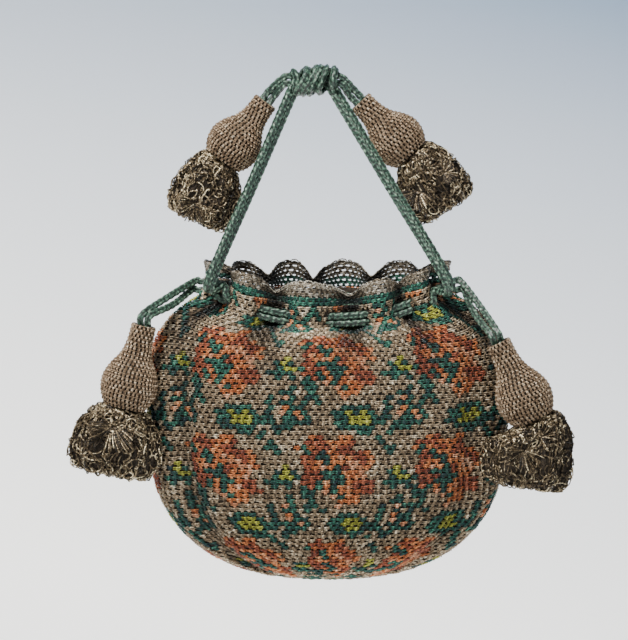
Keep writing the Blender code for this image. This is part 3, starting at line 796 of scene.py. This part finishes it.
# The chart's letters: . ground, t teal, o orange, r rust, p peach and y yellow-green
CHART = (
    "ott.....tttt..t.",
    "ptot...ttytyt.t.",
    "ttpt...ttyyyttt.",
    "tttt...ttyyyttt.",
    "tt......ttttt..t",
    "..........tt.t.t",
    "....or..oo...t..",
    "...rrrooor....t.",
    "..otorrorr....tt",
    "...trtoorrro...t",
    "...rrttoporro...",
    "...rootooppro...",
    "y..ropotroppo...",
    "yt.rrtttroop...t",
    "yytrrrtttoop...t",
    "tt.rrtottorrr.tt",
    ".t.trtotoprrr..t",
    "...tt.ptooorr...",
    ".t.tt..ptoo.....",
    "tt..t...ooo.....",
    "pt.tt...p.....t.",
    "tt.t.t........t.",
)
CHART_ROW = 48
CHART_COLUMN = 6.44

girths_of_courses = np.interp((np.arange(COURSES) + 0.5) * GRID_PER_COURSE, np.arange(grid_rows), girths)
counts = np.rint(girths_of_courses / STITCH_WIDE)
counts = np.minimum(STITCHES, np.maximum(FEWEST_STITCHES, counts)).astype(int)
counts[np.argmax(counts == STITCHES):] = STITCHES

chance = np.random.default_rng(7)
shares, courses, sizes, letters = [], [], [], []
for course, count in enumerate(counts):
    number = np.arange(count) + 0.5 * (course % 2)
    centre = (number + 0.5) / count
    shares.append(number / count)
    courses.append(np.full(count, course))
    sizes.append(np.full(count, 1 / count))
    row = CHART[(CHART_ROW - course) % len(CHART)]
    column = np.floor((centre - 0.5) * STITCHES + CHART_COLUMN).astype(int)
    letters.append(np.array([row[c % len(row)] for c in column]))
shares, courses, sizes, letters = (np.concatenate(x) for x in (shares, courses, sizes, letters))

# Each yarn's palest tone stands in for glints: a painted highlight.
YARNS = (
    ("ground", ".", ((0.0, (0.08, 0.050, 0.025)), (0.35, (0.27, 0.190, 0.110)), (0.7, (0.53, 0.41, 0.265)),
                     (1.0, (0.98, 0.88, 0.68)))),
    ("teal", "t", ((0.0, (0.004, 0.022, 0.036)), (0.3, (0.005, 0.050, 0.042)), (0.65, (0.014, 0.115, 0.078)),
                   (1.0, (0.10, 0.36, 0.24)))),
    ("orange", "o", ((0.0, (0.22, 0.05, 0.012)), (0.35, (0.52, 0.135, 0.032)), (0.7, (0.74, 0.27, 0.085)),
                     (1.0, (0.95, 0.55, 0.30)))),
    ("rust", "r", ((0.0, (0.10, 0.020, 0.010)), (0.4, (0.28, 0.058, 0.022)), (0.75, (0.46, 0.12, 0.045)),
                   (1.0, (0.75, 0.30, 0.16)))),
    ("peach", "p", ((0.0, (0.38, 0.13, 0.05)), (0.4, (0.68, 0.29, 0.14)), (0.75, (0.82, 0.45, 0.26)),
                    (1.0, (0.98, 0.72, 0.52)))),
    ("yellow", "y", ((0.0, (0.12, 0.11, 0.010)), (0.4, (0.32, 0.33, 0.025)), (0.75, (0.50, 0.51, 0.06)),
                     (1.0, (0.78, 0.78, 0.25)))),
)


def every_strand(strands, place):
    """The paths of all stitches' strands and the directions away from the cloth along them, from
    a function of a strand's places across its stitch, along it and out."""
    paths, ups = zip(*(place(*strand.T) for strand in strands))
    return np.concatenate(paths), np.concatenate(ups)


def stitch_paths(chosen):
    def place(s, t, h):
        return on_cloth(shares[chosen, None] + (s + sway[chosen, None]) * sizes[chosen, None],
                        courses[chosen, None] + t + climbs[chosen, None],
                        (h + jitter[chosen, None] * 0.12) * MILLIMETRE)

    return every_strand(STITCH_STRANDS, place)


jitter = chance.normal(0, 1, len(shares))
sway, climbs = chance.normal(0, 0.06, (2, len(shares)))
middles = (shares + sizes / 2) % 1
centres, _ = on_cloth(shares + sizes / 2, courses + 0.4, np.zeros(len(shares)))
grid_fold = at_level(FOLD, np.clip(grid_levels, 0, 1))[:, None]
# Painted shade: the stitches darken in the valleys between the gathers and along the creases at the front's
# sides.
grid_painted_shade = np.maximum(valley(grid_angles) * grid_fold,
                       CREASE_PAINTED_SHADE * crease(grid_angles, grid_levels[:, None]) / CREASE_LEFT)
near_row = np.minimum((courses * GRID_PER_COURSE).astype(int), grid_rows - 1)
near_column = (middles * (len(grid_shares) - 1)).astype(int)
gather_painted_shade = np.clip(grid_painted_shade[near_row, near_column], 0, 1)
raised = (wave(grid_angles) * grid_fold)[near_row, near_column]
# Painted light: stitches on the gathers' ridges get higher tones and those in the valleys lower ones, on top
# of their random tone.
stitch_tones = np.clip(chance.normal(0.49, 0.12, len(shares)) + RIDGE_PAINTED_LIGHT * raised, 0, 1)
facing = np.abs(middles - 0.5) < 0.25
near_cord = np.zeros(len(shares), bool)
for route in cord_routes[:2]:
    for piece in np.array_split(route, 60):
        far = np.linalg.norm(centres[:, None] - piece[None], axis=2).min(axis=1)
        near_cord |= far < CORD_CLEARANCE
for name, letter, tones in YARNS:
    finish = yarn_finish(name + " yarn", tones, roughness=0.40, metallic=0.25 if letter == "." else 0.1,
                         sheen=0.1, twists=650.0)
    for half, there in (("front", facing), ("back", ~facing)):
        chosen = np.flatnonzero((letters == letter) & ~near_cord & there)
        paths, ups = stitch_paths(chosen)
        lay_strands("stitches_%s_%s" % (name, half), paths, ups, STITCH_RADIUS * STITCH_TAPER, 3,
                    np.tile(stitch_tones[chosen], len(STITCH_STRANDS)), finish,
                    np.tile(gather_painted_shade[chosen], len(STITCH_STRANDS)))


def painted_shade_backing_finish():
    """Painted shade: near-black cloth that shows between the stitches outside, with its paler knots inside.
    """
    finish = bpy.data.materials.new("painted shade backing of the crochet")
    tree, shader = nodes_of(finish)
    place = add_node(tree, "TexCoord")
    knots = add_node(tree, "TexVoronoi", {"Scale": 420, "Vector": place.outputs["Object"]})
    depth = knots.outputs["Distance"]
    shade = colour_ramp(tree, depth, ((0, (0.045, 0.034, 0.024)), (1, (0.006, 0.005, 0.004))))
    bump = add_node(tree, "Bump", {"Strength": 0.8, "Distance": 0.0006, "Height": depth}, invert=True)
    feed(tree, shader, {"Base Color": shade, "Normal": bump.outputs["Normal"], "Roughness": 0.85,
                        "Specular IOR Level": 0.2})
    return finish


def closed_grid(name, columns, steps, corner):
    """A grid whose sides meet and whose open ends are filled. Each corner stands where its
    column's number and its share of the way up say."""
    bm = bmesh.new()
    bmesh.ops.create_grid(bm, x_segments=columns, y_segments=steps, size=1)
    for vert in bm.verts:
        column = round((vert.co.x + 1) / 2 * columns) % columns
        vert.co = Vector(corner(column, (vert.co.y + 1) / 2))
    bmesh.ops.remove_doubles(bm, verts=bm.verts, dist=1e-7)
    bmesh.ops.holes_fill(bm, edges=[e for e in bm.edges if e.is_boundary], sides=0)
    bmesh.ops.recalc_face_normals(bm, faces=bm.faces)
    return smooth_mesh(name, bm)


def make_backing():
    """A closed double wall: an outer and an inner skin of the cloth, joined at the rim."""
    step_across, step_up = 2, 3
    skin_out, skin_in = 0.00015, -WALL / 2
    columns = np.arange(0, len(grid_shares) - 1, step_across)
    rows = np.arange(0, grid_rows, step_up)
    last = 2 * len(rows) - 1

    def corner(column, share):
        j = round(share * last)
        outer = j < len(rows)
        row = rows[j if outer else last - j]
        away = skin_out if outer else skin_in
        return cloth[row, columns[column]] + away * cloth_out[row, columns[column]]

    mesh = closed_grid("backing", len(columns), last, corner)
    return add_piece("bag_backing", mesh, painted_shade_backing_finish())


backing = make_backing()
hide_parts("bag")


# The lace edging: rounds of looped metal thread above the rim, which rise into one scallop on
# each gather. Gaps between the loops let the light through.
SCALLOP_CREST = 0.0102
SCALLOP_SIDE_SHARE = 0.5
SCALLOP_VALLEY = 0.0024
SCALLOP_FLARE = 0.15
EDGING_STANDOFF = 2.5 * GAP
EDGING_RADIUS = 0.00046
EDGING_TAPER = np.array((0.85, 1.1, 0.95))
EDGING_RELIEF = 0.0008
EDGING_ROUNDS = 5
EDGING_LOW = 0.4
TEAL_ROUNDS = 2
PICOT_RADIUS = 0.00026

# The palest tone stands in for glints: a painted highlight.
LACE = yarn_finish(
    "metal lace thread",
    ((0.0, (0.06, 0.045, 0.03)), (0.35, (0.20, 0.16, 0.11)), (0.7, (0.42, 0.35, 0.26)),
     (1.0, (0.85, 0.80, 0.68))),
    roughness=0.36, metallic=0.55, sheen=0.0, twists=1300.0)

rim_angles = grid_angles[-1]
rim_out = cloth_out[-1]


def on_edging(share, height_share, lift):
    """Points of the edging's sheet, from just over the rim to the scalloped top."""
    angle = np.interp(share % 1, grid_shares, rim_angles)
    crest = np.sqrt(np.maximum((1 + wave(angle)) / 2, 0))
    crest = crest * (SCALLOP_SIDE_SHARE + (1 - SCALLOP_SIDE_SHARE) * np.cos(angle) ** 2)
    height = SCALLOP_VALLEY + (SCALLOP_CREST - SCALLOP_VALLEY) * crest
    out = np.stack([np.interp(share % 1, grid_shares, rim_out[:, k]) for k in range(3)], axis=-1)
    out = unit(out)
    rise = (EDGING_STANDOFF + height * height_share)[..., None] * np.array((0, 0, 1))
    flare = (SCALLOP_FLARE * height * height_share**2 + lift)[..., None]
    return bag_point(angle, 1.0) + rise + out * flare, out


def edging_course(course):
    """One round of open stitches above the rim, with its tones and its painted shade."""
    number = np.arange(STITCHES) + 0.5 * (course % 2)

    def place(s, t, h):
        share = (number[:, None] + s) / STITCHES
        height = (course + t - EDGING_LOW) / (EDGING_ROUNDS - EDGING_LOW)
        lift = (h - 0.6) * EDGING_RELIEF
        return on_edging(share, np.broadcast_to(height, share.shape), np.broadcast_to(lift, share.shape))

    paths, ups = every_strand(STITCH_STRANDS, place)
    angle = np.interp((number + 0.5) / STITCHES % 1, grid_shares, rim_angles)
    # Painted shade darkens the back half of the edging and the valleys between its scallops; painted light
    # raises the tones on the ridges.
    back = np.clip(-np.cos(angle) * 1.5 + 0.3, 0, 1)
    tones = np.clip(chance.normal(0.55, 0.15, STITCHES) + RIDGE_PAINTED_LIGHT * wave(angle), 0, 1)
    painted_shade = np.clip(0.7 * back + 0.9 * valley(angle), 0, 1)
    strands = len(STITCH_STRANDS)
    return paths, ups, np.tile(tones, strands), np.tile(painted_shade, strands)


def edging_picots(loops, low, high, twist):
    """The last round, of small loops standing on the scallops' tops."""
    per_strand, points_per_loop = 7, 10
    strands = loops // per_strand
    t = np.arange(per_strand * points_per_loop + 1) / points_per_loop
    t = t[None, :] + np.arange(strands)[:, None] * per_strand
    wobble = 1 + 0.3 * np.sin(t * 1.7)
    share = (t + twist * np.sin(2 * math.pi * t) * wobble) / (strands * per_strand)
    height = (low + high) / 2 - (high - low) / 2 * np.cos(2 * math.pi * t) * wobble
    lift = 0.0005 * np.sin(2 * math.pi * t + 1.3)
    return on_edging(share, height, lift)


TEAL_YARN = bpy.data.materials["teal yarn"]
for course in range(EDGING_ROUNDS):
    finish = TEAL_YARN if course < TEAL_ROUNDS else LACE
    paths, ups, tones, painted_shade = edging_course(course)
    piece = lay_strands("edging_course_%d" % (course + 1), paths, ups, EDGING_RADIUS * EDGING_TAPER, 3,
                        tones, finish, painted_shade)
    if course == 0:
        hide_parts("scallop_edging")
for number, (loops, low, high, twist) in enumerate(((119, 0.90, 1.08, 0.6), (91, 0.84, 1.04, 0.8))):
    paths, ups = edging_picots(loops, low, high, twist)
    tones = np.clip(chance.normal(0.6, 0.25, len(paths)), 0, 1)
    # Painted shade: the picots on the back half are darkened by half.
    back = (paths[:, 0, 1] > 0) * 0.5
    lay_strands("edging_picots_%d" % (number + 1), paths, ups, PICOT_RADIUS, 4, tones, LACE,
                back)


# The tassels' caps: pears crocheted in fine taupe thread with a metal strand, worked down from
# the neck, where the doubled cord goes in.
CAP_OUTLINE = ((0.00, 0.00), (0.22, 0.05), (0.38, 0.27), (0.52, 0.70), (0.66, 0.98), (0.80, 0.97),
               (0.92, 0.75), (1.00, 0.48))
CAP_SIDES = 32
CAP_STITCH = 0.00195
FEWEST_CAP_STITCHES = 12
CAP_THREAD = 0.00031
CAP_TAPER = np.array((0.85, 1.1, 0.9))
CAP_RELIEF = 0.0007
CAP_CORE_INSET = 0.0005
CAP_CORE_TOP = 0.0006
CAP_STRANDS = np.array((
    ((0.36, -0.15, 0.30), (0.37, 0.40, 1.10), (0.40, 0.90, 0.50)),
    ((0.64, -0.15, 0.30), (0.65, 0.40, 1.10), (0.60, 0.90, 0.50)),
    ((0.00, 0.86, 0.40), (0.50, 0.92, 0.80), (1.00, 0.86, 0.40)),
))

# The palest tone stands in for glints: a painted highlight.
TAUPE = yarn_finish(
    "taupe crochet thread",
    ((0.0, (0.08, 0.048, 0.024)), (0.35, (0.30, 0.200, 0.120)), (0.7, (0.60, 0.450, 0.300)),
     (1.0, (1.00, 0.90, 0.72))),
    roughness=0.34, metallic=0.45, sheen=0.0, twists=900.0)
# The cores of the caps and the skirts take the same near-black finish: painted shade.
CAP_CORE = painted_shade_backing_finish()


def tassel_axes(origin, direction):
    """A frame with its z along the tassel, y kept towards the back."""
    z = direction.normalized()
    y = (Vector((0, 1, 0)) - z * z.y).normalized()
    return Matrix.Translation(origin) @ Matrix((y.cross(z), y, z)).transposed().to_4x4()


def in_frame(place, points):
    matrix = np.array(place)
    return points @ matrix[:3, :3].T + matrix[:3, 3]


def make_cap(tassel):
    """A core in the cap's form, near black as painted shade, with rounds of stitches over it."""
    name, neck, direction, _, length, bulb = tassel[:6]
    outline = smooth_route([Vector((NECK_RADIUS + (bulb - NECK_RADIUS) * out, length * down, 0))
                            for down, out in CAP_OUTLINE], length / 40)
    radii, downs = outline[:, 0], outline[:, 1]
    place = tassel_axes(neck, direction)
    profile = [(r - CAP_CORE_INSET, z) for r, z in zip(radii, downs)]
    profile = [(0, CAP_CORE_TOP)] + profile + [(0, downs[-1])]

    def corner(column, share):
        r, z = profile[round(share * (len(profile) - 1))]
        turn = 2 * math.pi * column / CAP_SIDES
        return r * math.cos(turn), r * math.sin(turn), z

    core = closed_grid("cap core " + name, CAP_SIDES, len(profile) - 1, corner)
    core.transform(place)
    piece = add_piece("cap_core_" + name, core, CAP_CORE)
    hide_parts("tassel_cap_" + name)
    steps = np.concatenate(((0,), np.cumsum(np.hypot(np.diff(radii), np.diff(downs)))))
    cap_courses = round(steps[-1] / CAP_STITCH)
    course, number, round_ = [], [], []
    for k in range(cap_courses):
        radius = np.interp((k + 0.5) / cap_courses * steps[-1], steps, radii)
        wide = max(FEWEST_CAP_STITCHES, round(2 * math.pi * radius / CAP_STITCH))
        course.append(np.full(wide, k))
        number.append(np.arange(wide) + 0.5 * (k % 2))
        round_.append(np.full(wide, wide))
    course, number, round_ = (np.concatenate(x)[:, None] for x in (course, number, round_))

    def stitch(s, t, h):
        way = np.clip((course + 1 - t) / cap_courses, 0, 1) * steps[-1]
        turn = 2 * math.pi * (number + s) / round_
        slope_r, slope_d = (np.interp(way + 1e-4, steps, x) - np.interp(way - 1e-4, steps, x)
                            for x in (radii, downs))
        away = unit(np.stack((slope_d, -slope_r), axis=-1))
        lift = (h - 0.75) * CAP_RELIEF
        r = np.interp(way, steps, radii) + away[..., 0] * lift
        z = np.interp(way, steps, downs) + away[..., 1] * lift
        points = np.stack((r * np.cos(turn), r * np.sin(turn), z), axis=-1)
        normal = np.stack((away[..., 0] * np.cos(turn), away[..., 0] * np.sin(turn), away[..., 1]), axis=-1)
        return in_frame(place, points), normal @ np.array(place)[:3, :3].T

    paths, ups = every_strand(CAP_STRANDS, stitch)
    tones = np.tile(np.clip(chance.normal(0.48, 0.07, len(course)), 0, 1), len(CAP_STRANDS))
    lay_strands("cap_stitches_" + name, paths, ups, CAP_THREAD * CAP_TAPER, 3, tones, TAUPE)


for tassel in tassels:
    make_cap(tassel)


# The tassels' skirts: a strip of fringe in tarnished metal thread, gathered into a frilled
# rosette under each cap. Its long loops curl over one another, small loops edge it, and where the
# strip folds open its threads fan out from the fold.
SKIRT_OUTLINE = ((0.00, 0.48, 0.0), (0.14, 0.74, 0.3), (0.42, 0.96, 0.8), (0.76, 1.00, 1.0),
                 (1.00, 0.78, 1.3), (0.90, 0.44, 0.8))
SKIRT_CURVE = smooth_route([Vector(row) for row in SKIRT_OUTLINE], 0.05)
SKIRT_EDGE = np.argmax(SKIRT_CURVE[:, 0]) / (len(SKIRT_CURVE) - 1)
SKIRT_BEND = 0.42
SKIRT_LOBES = 6
LOBE_SWELL = 0.14
SKIRT_SIDES = 60
SKIRT_THREAD = 0.00033
SKIRT_RIBS = 80
SKIRT_CURLS = 820
SKIRT_LOOPS = 110
COLLAR_LOOPS = 70

# How bright each kind of a skirt's threads is, by the first letters of its name
SKIRT_TONES = {"ribs": 0.22, "curl": 0.46, "edge": 0.52, "coll": 0.60, "fan_": 0.34}

# Where the fringe fans open: place in the picture's plane, reach, and first and last direction
FANS = {
    "upper_left": ((-0.0528, -0.0463, 0.009, -220, 10),),
    "upper_right": ((0.0475, -0.0415, 0.009, -175, -20), (0.0580, -0.0338, 0.006, -100, 120)),
    "lower_left": ((-0.0890, -0.1450, 0.0135, -185, -15),),
    "lower_right": ((0.0940, -0.1560, 0.0105, -200, 10), (0.1010, -0.1500, 0.007, -60, 110)),
}

# The palest tone stands in for glints: a painted highlight.
TARNISHED = yarn_finish(
    "tarnished metal thread",
    ((0.0, (0.012, 0.009, 0.005)), (0.35, (0.085, 0.060, 0.034)), (0.7, (0.30, 0.225, 0.13)),
     (1.0, (1.00, 0.86, 0.58))),
    roughness=0.32, metallic=0.5, sheen=0.0, twists=800.0)


def skirt_surface(turn, way, tassel):
    """Points of a skirt's surface by turn round it and way along its outline, 0 to 1."""
    _, neck, direction, hang, cap_length, _, length, width = tassel
    steps = np.linspace(0, 1, len(SKIRT_CURVE))
    down, out, swell = (np.interp(way, steps, SKIRT_CURVE[:, k]) for k in range(3))
    top = np.array(neck + direction * (cap_length + GAP))
    bent = np.clip(down / SKIRT_BEND, 0, 1)[..., None]
    z = unit(np.array(direction) * (1 - bent) + np.array(hang) * bent)
    y = unit(np.array((0, 1, 0)) - z * z[..., 1:2])
    x = np.cross(y, z)
    swell = 1 + LOBE_SWELL * swell * np.cos(SKIRT_LOBES * turn)
    return (top + x * (width * out * swell * np.cos(turn))[..., None]
            + y * (SKIRT_DEPTH * out * swell * np.sin(turn))[..., None]
            + z * (length * down)[..., None])


def skirt_frame(turn, way, tassel):
    """Points of a skirt's surface with its directions across, down and outwards there."""
    turn, way = np.broadcast_arrays(turn, way)
    step = 2e-3
    point = skirt_surface(turn, way, tassel)
    low, high = np.clip(way - 4 * step, 0, 1), np.clip(way + 4 * step, 0, 1)
    across = (skirt_surface(turn + step, way, tassel)
              - skirt_surface(turn - step, way, tassel)) / (2 * step)
    down = (skirt_surface(turn, high, tassel)
            - skirt_surface(turn, low, tassel)) / np.maximum(high - low, 1e-9)[..., None]
    sizes = np.linalg.norm(across, axis=-1), np.linalg.norm(down, axis=-1)
    across, down = unit(across), unit(down)
    return point, across, down, unit(np.cross(across, down)), sizes


def skirt_curls(count, first, last, lengths, lifts, tassel, dice):
    """Loose curling threads that wander over a skirt between two ways along its outline."""
    turn = dice.uniform(0, 2 * math.pi, (count, 1))
    way = dice.uniform(first, last, (count, 1))
    t = np.linspace(0, 1, 11)[None, :]
    length = dice.uniform(*lengths, (count, 1))
    heading = dice.normal(0, 0.9, (count, 1))
    curl = dice.uniform(0.0006, 0.0012, (count, 1))
    beat = dice.uniform(0.6, 1.3, (count, 1)) * dice.choice((-1, 1), (count, 1))
    phase = 2 * math.pi * (beat * t + dice.uniform(0, 1, (count, 1)))
    along = length * (t - 0.5) + curl * np.cos(phase)
    sway = curl * np.sin(phase)
    down = along * np.cos(heading) - sway * np.sin(heading)
    across = along * np.sin(heading) + sway * np.cos(heading)
    _, _, _, _, (wide, tall) = skirt_frame(turn, way, tassel)
    point, _, _, out, _ = skirt_frame(turn + across / np.maximum(wide, 0.004),
                                      np.clip(way + down / np.maximum(tall, 0.01), 0, last), tassel)
    lift = 0.0002 + dice.uniform(*lifts, (count, 1)) * (np.sin(math.pi * t) * 0.8 + 0.2)
    return point + out * lift[..., None], out


def skirt_loops(count, way, sizes, hang_out, tassel, dice):
    """Small round loops that stand out from a skirt's edge."""
    turn = 2 * math.pi * (np.arange(count)[:, None] + dice.uniform(-0.4, 0.4, (count, 1))) / count
    place = np.clip(dice.normal(way, 0.025, (count, 1)), 0, 1)
    point, across, down, out, _ = skirt_frame(turn, place, tassel)
    t = np.linspace(0.04, 0.96, 11)[None, :]
    round_ = 2 * math.pi * t - math.pi / 2
    size = dice.uniform(*sizes, (count, 1))
    tip = dice.normal(0, 0.5, (count, 1, 1))
    side = unit(across * np.cos(tip) + out * np.sin(tip))
    forth = unit(down + out * dice.uniform(-0.2, 0.9, (count, 1, 1))) * hang_out
    paths = point + side * (size * 0.75 * np.cos(round_))[..., None] + forth * (
        size * (1 + np.sin(round_)))[..., None] + out * 0.0003
    return paths, np.broadcast_to(unit(np.cross(side, forth)), paths.shape)


def skirt_fan(fan, tassel, dice):
    """Threads that spread out of an open fold like the inside of a trumpet."""
    x, z, reach, first, last = fan
    turns, ways = np.meshgrid(np.linspace(-math.pi, 0, 60), np.linspace(0.05, 0.85, 60))
    grid, _, _, grid_out, _ = skirt_frame(turns, ways, tassel)
    miss = (grid[..., 0] - x) ** 2 + (grid[..., 2] - z) ** 2 + (grid_out[..., 1] > 0)
    nearest = np.unravel_index(np.argmin(miss), miss.shape)
    apex, out = grid[nearest], grid_out[nearest]
    level = unit(np.array((1.0, 0, 0)) - out * out[0])
    upright = np.cross(level, out)
    upright = upright * np.sign(upright[2])
    count = round(reach * abs(last - first) * 14)
    heading = np.radians(np.linspace(first, last, count) + dice.normal(0, 1.5, count))[:, None]
    t = np.linspace(0.05, 1, 8)[None, :]
    length = reach * dice.uniform(0.85, 1.05, (count, 1)) * (1 + 0.1 * np.cos(heading * 5))
    bend = 0.12 * np.sin(3 * heading) * t**2
    way = (level * np.cos(heading + bend)[..., None] + upright * np.sin(heading + bend)[..., None])
    lift = 0.0006 + 0.30 * reach * t**1.6 + dice.normal(0, 0.0001, (count, 1))
    paths = apex + way * (length * t)[..., None] + out * lift[..., None]
    return paths, np.broadcast_to(out, paths.shape)


def make_skirt(tassel):
    """A core in the skirt's form, near black as painted shade, with batches of threads over it."""
    name = tassel[0]

    def corner(column, share):
        turn = 2 * math.pi * column / SKIRT_SIDES
        return skirt_surface(np.float64(turn), np.float64(share), tassel)

    mesh = closed_grid("skirt core " + name, SKIRT_SIDES, len(SKIRT_CURVE) - 1, corner)
    piece = add_piece("skirt_core_" + name, mesh, CAP_CORE)
    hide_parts("tassel_skirt_" + name)

    dice = np.random.default_rng(sum(map(ord, name)))
    turn = np.arange(SKIRT_RIBS)[:, None] + dice.uniform(-0.4, 0.4, (SKIRT_RIBS, 1))
    turn = 2 * math.pi * turn / SKIRT_RIBS
    way = np.linspace(0.01, 1, 16)[None, :]
    beat, phase = dice.uniform(4, 14, (SKIRT_RIBS, 1)), dice.uniform(0, 6, (SKIRT_RIBS, 1))
    sway = dice.normal(0, 0.07, (SKIRT_RIBS, 1)) * np.sin(way * beat + phase)
    point, _, _, out, _ = skirt_frame(turn + sway, way, tassel)
    batches = {"ribs": (point + out * 0.0002, out)}
    batches["curls"] = skirt_curls(SKIRT_CURLS, 0.03, SKIRT_EDGE * 1.03, (0.0025, 0.0065),
                                   (0.0002, 0.0016), tassel, dice)
    batches["edge_loops"] = skirt_loops(SKIRT_LOOPS, SKIRT_EDGE, (0.0007, 0.0013), 1.0, tassel, dice)
    batches["collar"] = skirt_loops(COLLAR_LOOPS, 0.05, (0.0008, 0.0015), 0.9, tassel, dice)
    for number, fan in enumerate(FANS[name]):
        batches["fan_%d" % (number + 1)] = skirt_fan(fan, tassel, dice)
    for batch, (paths, ups) in batches.items():
        tones = np.clip(dice.normal(SKIRT_TONES[batch[:4]], 0.28, len(paths)), 0, 1)
        lay_strands("skirt_%s_%s" % (batch, name), paths, ups, SKIRT_THREAD, 3, tones, TARNISHED)


for tassel in tassels:
    make_skirt(tassel)
